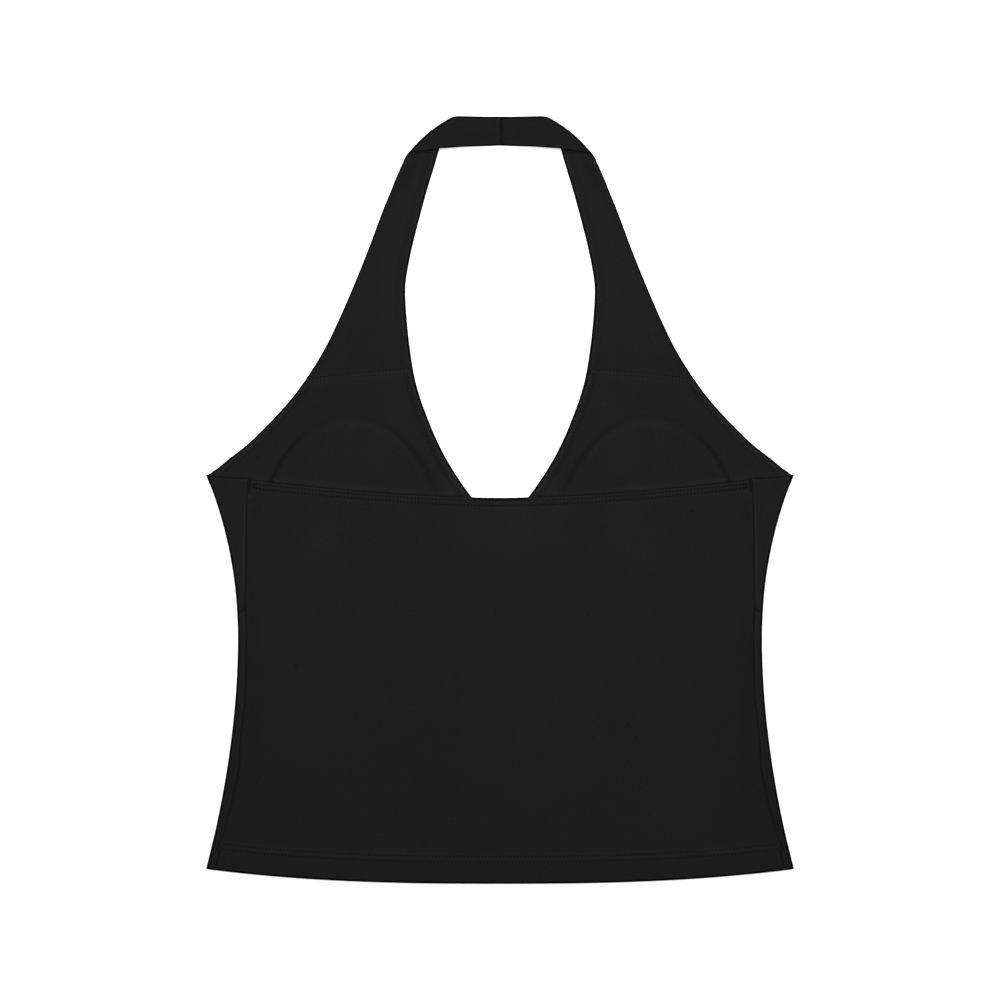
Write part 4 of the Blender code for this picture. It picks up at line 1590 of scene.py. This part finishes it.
        # the centre back seam: painted highlight on its pressed ridge, painted shade in its groove and small
        # puckers
        seam = np.array([(-0.0010, 0.2416, z), (-0.0010, 0.2606, z)])
        made.append(Line(seam, 0.00022, 0.0005, 0.24))
        seam = np.array([(0.0009, 0.2416, z), (0.0007, 0.2606, z)])
        made.append(Line(seam, -0.00034, 0.0007, -0.56))
        for x0, y0, x1, y1 in ((0.0004, 0.2418, 0.0022, 0.2460), (0.0003, 0.250, 0.0018, 0.2535)):
            made.append(Line(np.array([(x0, y0, z), (x1, y1, z)]), -0.0001, 0.0006, -0.3, True))
        creases = (
            (-12, 248, -26, 251, 0.25, 3.5),
            (-16, 244, -30, 245, -0.22, 3.0),
            (8, 252, 22, 247, -0.16, 3.5),
            (12, 245, 26, 243, 0.14, 3.0),
        )
        return made + [crease(*c, z) for c in creases]

    def patches(self) -> list[Patch]:
        """Painted shade in the corners by the underarm and the side strips' lower ends, and a painted
        highlight and painted shade on the neck band.

        Returns:
            The patches.
        """
        return [
            Patch(-0.190, 0.008, 0.010, 0.008, -0.06),
            Patch(0.190, 0.008, 0.010, 0.008, -0.06),
            Patch(-0.008, 0.256, 0.010, 0.006, 0.06),
            Patch(-0.012, 0.246, 0.010, 0.004, -0.06),
        ]


@dataclass
class BustLining(ClothPiece):
    """The lining inside the bust, draped over the cups and turned at the neckline and armholes."""

    name: str = "bust_lining"
    slot: str = "black_lining"
    wall: float = 0.00060
    edge_start: float = 0.0006
    flat: tuple[float, float] = (0.400, 0.178)
    area: float = 0.0507
    rests_on: tuple[str, ...] = ("front_bust_cloth", "cup_left_pad", "cup_right_pad")
    columns: int = 112
    low_rows: int = 56
    high_rows: int = 72
    drape: tuple[float, float] = (0.97, 1.07)

    def reference(self) -> np.ndarray:
        """The flat lining between the cups."""
        return np.array([0.0, -0.05, 0.0])

    def edges(self) -> tuple[np.ndarray, np.ndarray]:
        """The neckline and armhole edges below the facings.

        Returns:
            The two edges in plan.
        """
        neck, arm = self.cut.strap_edges()
        neck = cut_at(inset(neck, -self.cut.lining_inset), self.cut.join_neck_y)[0]
        arm = cut_at(inset(arm, self.cut.lining_inset), self.cut.join_arm_y)[0]
        return neck, arm

    def height(self, plan: np.ndarray) -> np.ndarray:
        """The lining's plain height, over the cups."""
        return self.cut.lining_z + CUP.lift(plan[..., 0], plan[..., 1], *self.drape)

    def grids(self) -> list[np.ndarray]:
        """The lining below and beside the neckline, for each half.

        Returns:
            The two grids of the left half, then those of the right.
        """
        cut = self.cut
        columns = crowded(self.columns, 0.35)
        neck_curve, arm_curve = self.edges()
        high_shares = np.linspace(0, 1, self.high_rows + 1)
        neck, arm = sampled(neck_curve, high_shares), sampled(arm_curve, high_shares)
        neck[0, 0] = 0
        shares = np.linspace(0, 1, self.low_rows + 1)
        bottom = float(cut.underbust_y(0)) + cut.gap
        inner = np.stack([0 * shares, bottom + (neck[0, 1] - bottom) * shares], 1)
        start_y = cut.underbust_side_y + cut.gap
        side_y = start_y + (arm[0, 1] - start_y) * shares
        outer = np.stack([cut.side_half(side_y) - cut.side_fold_reach - cut.lining_inset, side_y], 1)
        arm[0] = outer[-1]
        low = between(inner, outer, columns)
        low[..., 1] += cut.underbust_bow(shares, columns)
        high = between(neck, arm, columns)
        high[..., 1] += cut.join_row_bow(high_shares, columns)
        half = [raised(low, self.height(low)), raised(high, self.height(high))]
        return [mirrored(cut.swell(grid), side) for side in Side for grid in half]

    def join_path(self, drop: float) -> np.ndarray:
        """A path beside the seam to the facing, on the right, a distance below it.

        Args:
            drop: How far below the seam the path runs.

        Returns:
            The path.
        """
        neck, arm = self.edges()
        share = np.linspace(0.02, 0.98, 40)
        plan = neck[-1] + (arm[-1] - neck[-1]) * share[:, None]
        plan[:, 1] += self.cut.join_bow * 4 * share * (1 - share) - drop
        return np.column_stack([plan, np.full(len(plan), self.cut.lining_z)])

    def edge_path(self, curve: np.ndarray, move: float, low: float, high: float) -> np.ndarray:
        """A path inside an edge curve, on the right, between two shares of its length."""
        plan = sampled(inset(curve, move), np.linspace(low, high, 120))
        return np.column_stack([plan, self.height(plan)])

    def painted_shade_edge(self, points: np.ndarray) -> np.ndarray:
        """The neckline and the armholes.

        Args:
            points: Positions on the middle of the cloth.

        Returns:
            Whether each point is on a free edge.
        """
        folded = points * np.array([0, 1, 1]) + np.abs(points) * np.array([1, 0, 0])
        at_join = nearest_on(self.join_path(0.0), folded)[0] < 0.0009
        return ~at_join & (points[:, 1] > self.cut.underbust_side_y + 0.004)

    def rows(self) -> list[StitchRow]:
        """The rows inside the neckline and armholes, and the lower of the twin rows at the join.

        Returns:
            The rows.
        """
        neck, arm = self.edges()
        rows = []
        for side in Side:
            flip = np.array([side.value, 1, 1])
            by_neck = self.edge_path(neck, -HEM.neck_row + HEM.lining_set_back, 0.04, 0.995)
            rows.append(StitchRow(by_neck * flip, faint=0.00016))
            by_arm = self.edge_path(arm, HEM.arm_row - HEM.lining_set_back, 0.05, 0.995)
            rows.append(StitchRow(by_arm * flip, faint=0.00012))
            rows.append(StitchRow(self.join_path(HEM.join_row) * flip))
        return rows

    def lines(self) -> list[Line]:
        """Turned edges and the cups' outlines, with painted highlights on their ridges and painted shade in
        their grooves, a painted highlight along the back's edge, and creases.

        Returns:
            The lines.
        """
        cut, z = self.cut, self.cut.lining_z
        neck, arm = self.edges()
        made = []
        for side in Side:
            flip = np.array([side.value, 1, 1])
            # painted highlights on the turned edges' ridges and the join, painted shade in the grooves beside
            # them
            made.append(Line(self.edge_path(neck, -0.0024, 0.02, 0.98) * flip, 0.00022, 0.0014, 0.14))
            made.append(Line(self.edge_path(neck, -0.0050, 0.05, 0.98) * flip, -0.00014, 0.0010, -0.13))
            made.append(Line(self.edge_path(arm, 0.0022, 0.02, 0.98) * flip, 0.00022, 0.0014, 0.12))
            made.append(Line(self.edge_path(arm, 0.0046, 0.03, 0.98) * flip, -0.00010, 0.0009, -0.08))
            made.append(Line(self.join_path(0.0004) * flip, 0.00006, 0.0008, 0.14))
            made.append(Line(self.join_path(0.0026) * flip, 0.00002, 0.0009, 0.06))
            # painted shade in the grooves outside the cups' outlines, a painted highlight on the rim inside
            for share, low, high, height, width, tone in (
                (1.010, 10, 170, -0.00010, 0.0018, -0.08),
                (1.010, 124, 190, -0.00022, 0.0015, -0.28),
                (0.940, 24, 156, 0.00010, 0.0026, 0.07),
            ):
                path = CUP.outline(share, side, z, 180 - high, 180 - low)
                path[:, 2] = self.height(path[:, :2])
                made.append(Line(path, height, width, tone, True))
            inner = [(0.0810, 0.0515), (0.0700, 0.0448), (0.0560, 0.0295), (0.0468, 0.0125), (0.0405, 0.0035)]
            plan = catmull_rom(inner, 10)
            path = np.column_stack([plan, self.height(plan)]) * flip
            made.append(Line(path, -0.00020, 0.0026, -0.17, True))
            # a painted highlight along the lining just above the back's edge
            ends = sorted((side.value * 0.030, side.value * 0.165))
            path = across(lambda x: cut.back_edge_y(x) + 0.0016, *ends, z)
            path[:, 2] = self.height(path[:, :2])
            made.append(Line(path, 0.0, 0.0020, 0.17))
        creases = (
            (-146, 46, -166, 20, -0.16, 5.0),
            (-134, 58, -150, 34, 0.14, 5.0),
            (-112, 76, -126, 56, -0.12, 5.0),
            (-78, 78, -92, 62, 0.16, 6.0),
            (-62, 74, -58, 40, 0.14, 4.0),
            (144, 44, 163, 20, -0.14, 5.0),
            (131, 60, 147, 36, 0.14, 5.0),
            (84, 76, 97, 60, 0.14, 6.0),
            (60, 70, 56, 38, 0.12, 4.0),
            (108, 78, 118, 62, -0.12, 5.0),
        )
        return made + [crease(*c, z) for c in creases]

    def patches(self) -> list[Patch]:
        """Painted shade in the corners between the cups and the armholes, and a few painted highlights.

        Returns:
            The patches.
        """
        return [
            Patch(-0.136, 0.040, 0.011, 0.026, -0.09, 0.0, -42.0),
            Patch(0.136, 0.040, 0.011, 0.026, -0.08, 0.0, 42.0),
            Patch(-0.072, 0.060, 0.006, 0.030, 0.05, 0.0, -14.0),
            Patch(0.072, 0.060, 0.006, 0.030, 0.05, 0.0, 14.0),
            Patch(-0.168, 0.027, 0.004, 0.012, -0.10, 0.0, -38.0),
            Patch(0.168, 0.027, 0.004, 0.012, -0.09, 0.0, 38.0),
            Patch(-0.1745, 0.0180, 0.0016, 0.0016, -0.12),
            Patch(-0.0330, 0.0085, 0.008, 0.008, 0.16),
            Patch(0.0330, 0.0085, 0.008, 0.008, 0.16),
        ]


@dataclass
class StrapFacing(ClothPiece):
    """A strap's facing, from the lining up, round the shoulder fold and under the neck band."""

    side: Side = Side.LEFT
    slot: str = "black_lining"
    wall: float = 0.00060
    edge_start: float = 0.0006
    flat: tuple[float, float] = (0.240, 0.072)
    area: float = 0.0063
    rests_on: tuple[str, ...] = ("front_bust_cloth",)
    columns: int = 44
    strap_rows: int = 104
    band_rows: int = 34
    fold_steps: int = 10

    def reference(self) -> np.ndarray:
        """The middle of the strap."""
        return np.array([self.side.value * 0.080, 0.150, 0.0])

    def edges(self) -> tuple[np.ndarray, np.ndarray]:
        """The neckline and armhole edges above the lining.

        Returns:
            The two edges in plan.
        """
        neck, arm = self.cut.strap_edges()
        neck = cut_at(inset(neck, -self.cut.lining_inset), self.cut.join_neck_y)[1]
        arm = cut_at(inset(arm, self.cut.lining_inset), self.cut.join_arm_y)[1]
        return neck, arm

    def grids(self) -> list[np.ndarray]:
        """The strap, the shoulder fold and the half of the neck band.

        Returns:
            The three grids.
        """
        cut = self.cut
        shares = np.linspace(0, 1, self.strap_rows + 1)
        neck, arm = (sampled(curve, shares) for curve in self.edges())
        neck[0, 1] += 0.0001
        arm[0, 1] += 0.0001
        radius = cut.shoulder_fold_z - cut.lining_z
        shoulder = cut.shoulder_fold(self.columns, radius, cut.lining_inset, self.fold_steps)
        columns = np.linspace(0, 1, self.columns + 1)
        strap = between(neck, arm, columns)
        strap[..., 1] += cut.join_row_bow(1 - shares, columns)
        strap = raised(strap, cut.lining_z)
        strap[-1] = shoulder[0]
        band = cut.neck_band(shoulder[-1], cut.front_z, cut.lining_inset, self.band_rows)
        return [mirrored(cut.swell(grid), self.side) for grid in (strap, shoulder, band)]

    def join_path(self, rise: float) -> np.ndarray:
        """A path above the seam to the lining.

        Args:
            rise: How far above the seam the path runs.

        Returns:
            The path.
        """
        neck, arm = self.edges()
        share = np.linspace(0.02, 0.98, 40)
        plan = neck[0] + (arm[0] - neck[0]) * share[:, None]
        plan[:, 1] += self.cut.join_bow * 4 * share * (1 - share) + rise
        path = np.column_stack([plan, np.full(len(plan), self.cut.lining_z)])
        return path * np.array([self.side.value, 1, 1])

    def edge_path(self, curve: np.ndarray, move: float, low: float, high: float) -> np.ndarray:
        """A path inside an edge curve, between two shares of its length.

        Args:
            curve: The edge in plan.
            move: How far it is moved, below 0 for the neckline and above 0 for the armhole.
            low: The share of its length where the path starts.
            high: The share where it ends.

        Returns:
            The path.
        """
        plan = sampled(inset(curve, move), np.linspace(low, high, 120))
        path = np.column_stack([plan, np.full(len(plan), self.cut.lining_z)])
        return path * np.array([self.side.value, 1, 1])

    def painted_shade_edge(self, points: np.ndarray) -> np.ndarray:
        """The edges of the strap and of the neck band."""
        at_join = nearest_on(self.join_path(0.0), points)[0] < 0.0009
        return ~at_join & (np.abs(points[:, 0]) > 0.0008)

    def rows(self) -> list[StitchRow]:
        """The row inside the neckline and the upper of the twin rows at the join.

        Returns:
            The rows.
        """
        neck, _ = self.edges()
        path = self.edge_path(neck, -HEM.neck_row + HEM.lining_set_back, 0.01, 0.985)
        return [StitchRow(path, faint=0.0002), StitchRow(self.join_path(HEM.join_row))]

    def broad_painted_light(self, points: np.ndarray) -> np.ndarray:
        """The painted light over the top, a shade darker on the facings."""
        return super().broad_painted_light(points) * 0.985

    def lines(self) -> list[Line]:
        """Painted light along the strap and on the edges and the join, painted shade by the band, by the
        armhole and in the row's groove, and creases.

        Returns:
            The lines.
        """
        cut, s = self.cut, self.side.value
        z = cut.lining_z
        neck, arm = self.edges()
        made = [
            Line(self.edge_path(neck, -0.0100, 0.02, 0.98), 0.00010, 0.0060, 0.06, True),
            Line(self.edge_path(neck, -0.0052, 0.02, 0.98), -0.00006, 0.0010, -0.07),
            Line(self.edge_path(neck, -0.0016, 0.02, 0.98), 0.00008, 0.0012, 0.05),
            Line(self.edge_path(arm, 0.0016, 0.05, 0.97), -0.00006, 0.0016, -0.07),
            Line(self.join_path(0.0004), 0.00006, 0.0008, 0.14),
            Line(self.join_path(0.0026), 0.00002, 0.0009, 0.06),
        ]
        shade = [(s * 0.0560, 0.2340, z), (s * 0.0620, 0.2200, z), (s * 0.0660, 0.2080, z)]
        made.append(Line(catmull_rom(shade, 10), -0.00022, 0.0034, -0.14, True))
        creases = (
            (s * 58, 226, s * 70, 196, 0.16, 3.0),
            (s * 74, 190, s * 86, 150, -0.12, 6.0),
            (s * 70, 168, s * 74, 110, 0.18, 7.0),
            (s * 96, 128, s * 112, 96, -0.14, 6.0),
            (s * 84, 110, s * 92, 92, 0.14, 5.0),
        )
        return made + [crease(*c, z) for c in creases]

    def patches(self) -> list[Patch]:
        """A painted highlight at the mouth of the shoulder fold."""
        return [Patch(self.side.value * 0.0642, 0.2345, 0.0030, 0.0030, 0.2)]


@dataclass
class BustCup:
    """A thin moulded foam pad between the front and the lining."""

    side: Side
    finish: bpy.types.Material
    shape: CupShape = CUP
    base_z: float = 0.0013
    segments: int = 96
    rings: int = 20

    def build(self) -> bpy.types.Object:
        """Makes the pad: flat below with a rounded rim, crowned above.

        Returns:
            The finished object.
        """
        shape, s = self.shape, self.side.value
        angle = np.linspace(0, 2 * math.pi, self.segments, endpoint=False)
        c, t = np.cos(angle), np.sin(angle)
        reach = (np.abs(c) ** shape.exponent + np.abs(t) ** shape.exponent) ** (-1 / shape.exponent)
        loops = [(share, self.base_z) for share in np.linspace(0.05, 0.99, 8)]
        loops.append((1.0, self.base_z + shape.rim / 2))
        for share in np.linspace(0.992, 0.04, self.rings):
            loops.append((share, self.base_z + float(shape.thickness(np.array(share)))))
        points = []
        for share, z in loops:
            x = shape.x + shape.half_width * share * reach * c
            y = shape.y + np.where(t > 0, shape.above, shape.below) * share * reach * t
            points.append(np.stack([s * x, y, 0 * x + z], 1))
        faces = []
        for ring in range(len(loops) - 1):
            for k in range(self.segments):
                n = (k + 1) % self.segments
                a, b = ring * self.segments, (ring + 1) * self.segments
                faces.append((a + k, a + n, b + n, b + k))
        total = len(loops) * self.segments
        points.append(np.array([
            (s * shape.x, shape.y, self.base_z),
            (s * shape.x, shape.y, loops[-1][1] + 0.00001),
        ]))
        for k in range(self.segments):
            n = (k + 1) % self.segments
            faces.append((n, k, total))
            faces.append((total - self.segments + k, total - self.segments + n, total + 1))
        name = f"cup_{self.side.name.lower()}"
        data = bpy.data.meshes.new(name)
        data.from_pydata(np.vstack(points).tolist(), [], faces)
        mesh = bmesh.new()
        mesh.from_mesh(data)
        bmesh.ops.recalc_face_normals(mesh, faces=mesh.faces)
        mesh.to_mesh(data)
        mesh.free()
        data.shade_smooth()
        layer = data.attributes.new("tone", "FLOAT", "POINT")
        layer.data.foreach_set("value", np.ones(len(data.vertices), np.float32))
        for key in ("edge", "row_off"):
            layer = data.attributes.new(key, "FLOAT", "POINT")
            layer.data.foreach_set("value", np.full(len(data.vertices), PAINTED_EDGE_REACH.far, np.float32))
        data.materials.append(self.finish)
        piece = bpy.data.objects.new(f"{name}_pad", data)
        bpy.context.scene.collection.objects.link(piece)
        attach(piece, "root")
        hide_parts(name)
        return piece


@dataclass
class Stitching:
    """Thread stitches along the rows of a piece of cloth, laid by one geometry node tree."""

    thread: bpy.types.Material
    length: float = 0.00185
    thickness: float = 0.00032
    seed: int = 7
    tree: bpy.types.NodeTree | None = None

    def stitch_tree(self) -> bpy.types.NodeTree:
        """Builds the tree: rows of points to stitches laid along them, facing out of the cloth.

        Returns:
            The node tree.
        """
        tree = bpy.data.node_groups.new("StitchRows", "GeometryNodeTree")
        face = tree.interface
        face.new_socket("Geometry", in_out="INPUT", socket_type="NodeSocketGeometry")
        for key in ("Pitch", "Length", "Thickness"):
            face.new_socket(key, in_out="INPUT", socket_type="NodeSocketFloat")
        face.new_socket("Seed", in_out="INPUT", socket_type="NodeSocketInt")
        face.new_socket("Thread", in_out="INPUT", socket_type="NodeSocketMaterial")
        face.new_socket("Geometry", in_out="OUTPUT", socket_type="NodeSocketGeometry")
        sheet = NodeSheet(tree)
        given, out = sheet.node("NodeGroupInput").outputs, sheet.node("NodeGroupOutput")
        curve = sheet.node("GeometryNodeMeshToCurve", {"Mesh": given["Geometry"]})
        points = sheet.node("GeometryNodeResampleCurve", {"Curve": curve.outputs[0]}, mode="LENGTH")
        tree.links.new(given["Pitch"], points.inputs["Length"])
        tangent = sheet.node("GeometryNodeInputTangent").outputs[0]
        up = sheet.node("GeometryNodeInputNamedAttribute", {"Name": "up"}, data_type="FLOAT_VECTOR")
        along = sheet.node("FunctionNodeAlignRotationToVector", {"Vector": tangent}, axis="X")
        turned = sheet.node(
            "FunctionNodeAlignRotationToVector",
            {"Rotation": along.outputs[0], "Vector": up.outputs["Attribute"]},
            axis="Z",
            pivot_axis="X",
        )
        ball = sheet.node("GeometryNodeMeshUVSphere", {"Segments": 6, "Rings": 5, "Radius": 0.5})
        sides = {0: given["Length"], 1: given["Thickness"], 2: given["Thickness"]}
        size = sheet.node("ShaderNodeCombineXYZ", sides)
        stitch = sheet.node("GeometryNodeTransform", {"Geometry": ball.outputs[0], "Scale": size.outputs[0]})
        low, high = (0.86, 0.85, 0.85), (1.06, 1.12, 1.10)
        vary = sheet.node("FunctionNodeRandomValue", {"Seed": given["Seed"]}, data_type="FLOAT_VECTOR")
        vary.inputs[0].default_value = low
        vary.inputs[1].default_value = high
        laid = sheet.node(
            "GeometryNodeInstanceOnPoints",
            {
                "Points": points.outputs[0],
                "Instance": stitch.outputs[0],
                "Rotation": turned.outputs[0],
                "Scale": vary.outputs[0],
            },
        )
        real = sheet.node("GeometryNodeRealizeInstances", {"Geometry": laid.outputs[0]})
        smooth = sheet.node("GeometryNodeSetShadeSmooth", {0: real.outputs[0]})
        done = sheet.node("GeometryNodeSetMaterial", {0: smooth.outputs[0], "Material": given["Thread"]})
        tree.links.new(done.outputs[0], out.inputs[0])
        return tree

    def sew(self, cloth: ClothPiece) -> bpy.types.Object:
        """Lays the stitches of one piece.

        Args:
            cloth: The piece, already built.

        Returns:
            The stitches as one plain mesh.
        """
        if self.tree is None:
            self.tree = self.stitch_tree()
        points, links, ups = [], [], []
        for row in cloth.rows():
            steps = max(2, int(row.length / 0.0008))
            path = sampled(row.path, np.linspace(0, 1, steps))
            rise = cloth.relief(path) + (cloth.wall + cloth.extra_wall(path)) / 2 + 0.00004
            path = path + np.array([0, 0, row.up]) * rise[:, None]
            start = len(points)
            points.extend(path.tolist())
            links.extend((start + k, start + k + 1) for k in range(len(path) - 1))
            ups.extend([(0.0, 0.0, float(row.up))] * len(path))
        data = bpy.data.meshes.new(f"{cloth.name}_rows")
        data.from_pydata(points, links, [])
        layer = data.attributes.new("up", "FLOAT_VECTOR", "POINT")
        layer.data.foreach_set("vector", np.array(ups, np.float32).reshape(-1))
        guide = bpy.data.objects.new(f"{cloth.name}_rows", data)
        modifier = guide.modifiers.new("Stitches", "NODES")
        modifier.node_group = self.tree
        values = {
            "Pitch": cloth.stitch_pitch,
            "Length": self.length,
            "Thickness": self.thickness,
            "Seed": self.seed,
            "Thread": self.thread,
        }
        for item in self.tree.interface.items_tree:
            if item.in_out == "INPUT" and item.name in values:
                modifier[item.identifier] = values[item.name]
        bpy.context.scene.collection.objects.link(guide)
        graph = bpy.context.evaluated_depsgraph_get()
        made = bpy.data.meshes.new_from_object(guide.evaluated_get(graph), depsgraph=graph)
        guide.modifiers.remove(modifier)
        bpy.data.objects.remove(guide)
        made.name = f"{cloth.name}_stitches"
        if not made.materials:
            made.materials.append(self.thread)
        piece = bpy.data.objects.new(made.name, made)
        bpy.context.scene.collection.objects.link(piece)
        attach(piece, "root")
        return piece


@dataclass(frozen=True)
class Lamp:
    """A soft rectangular light."""

    name: str
    place: tuple[float, float, float]
    size: tuple[float, float]
    power: float


@dataclass(frozen=True)
class Studio:
    """A plain pale floor, soft light and the camera straight above the top."""

    floor_half: float = 3.0
    floor_white: float = 0.93
    sky: float = 0.78
    camera_height: float = 1.6086
    lens: float = 85.0
    lamps: tuple[Lamp, ...] = (
        Lamp("window_left", (-1.25, 0.3, 1.5), (1.3, 1.8), 32.5),
        Lamp("window_right", (1.25, 0.3, 1.5), (1.3, 1.8), 32.5),
        Lamp("window_neck", (0.0, 1.7, 1.6), (2.0, 1.2), 32.5),
    )

    def build(self) -> None:
        """Makes the floor, the lights, the sky and the camera."""
        half = self.floor_half
        data = bpy.data.meshes.new("floor")
        corners = [(-half, -half, 0), (half, -half, 0), (half, half, 0), (-half, half, 0)]
        data.from_pydata(corners, [], [(0, 1, 2, 3)])
        floor = bpy.data.objects.new("floor", data)
        paint = bpy.data.materials.new("floor_white")
        paint.use_nodes = True
        shader = paint.node_tree.nodes["Principled BSDF"]
        shader.inputs["Base Color"].default_value = (self.floor_white,) * 3 + (1,)
        shader.inputs["Roughness"].default_value = 0.9
        shader.inputs["Specular IOR Level"].default_value = 0.2
        data.materials.append(paint)
        bpy.context.scene.collection.objects.link(floor)
        for lamp in self.lamps:
            light = bpy.data.lights.new(lamp.name, "AREA")
            light.shape = "RECTANGLE"
            light.size, light.size_y = lamp.size
            light.energy = lamp.power
            holder = bpy.data.objects.new(lamp.name, light)
            holder.location = lamp.place
            holder.rotation_euler = Vector(lamp.place).to_track_quat("Z", "Y").to_euler()
            bpy.context.scene.collection.objects.link(holder)
        world = bpy.data.worlds.new("studio")
        world.use_nodes = True
        sky = world.node_tree.nodes["Background"]
        sky.inputs["Color"].default_value = (1, 1, 1, 1)
        sky.inputs["Strength"].default_value = self.sky
        bpy.context.scene.world = world
        camera = bpy.data.cameras.new("camera")
        camera.lens = self.lens
        camera.sensor_width = 36.0
        holder = bpy.data.objects.new("camera", camera)
        holder.location = (0, 0, self.camera_height)
        bpy.context.scene.collection.objects.link(holder)
        bpy.context.scene.camera = holder
        bpy.context.scene.view_settings.view_transform = "Standard"


def main() -> None:
    """Builds the studio, then every piece in order."""
    logging.basicConfig(level=logging.INFO, format="%(message)s")
    Studio().build()
    effects = ShaderEffects()
    knit = KnitFinish("black_knit", 0.00665, mottle=0.4).material(effects)
    lining = KnitFinish("black_lining", 0.0066, mottle=0.4, slub=0.6).material(effects)
    foam = KnitFinish("cup_foam", 0.0080, wales=1000.0, slub=0.2).material(effects)
    stitching = Stitching(ThreadFinish().material())
    cloths = [
        FrontBust(knit),
        FrontBody(knit),
        BustLining(lining),
        StrapFacing(lining, name="strap_facing_left", side=Side.LEFT),
        StrapFacing(lining, name="strap_facing_right", side=Side.RIGHT),
        BackPanel(knit),
    ]
    for side in Side:
        piece = BustCup(side, foam).build()
        log.info("%s: %d faces", piece.name, len(piece.data.polygons))
    for cloth in cloths:
        piece = cloth.build()
        stitches = stitching.sew(cloth)
        log.info("%s: %d faces", piece.name, len(piece.data.polygons))
        log.info("%s: %d faces", stitches.name, len(stitches.data.polygons))


if __name__ == "__main__":
    main()
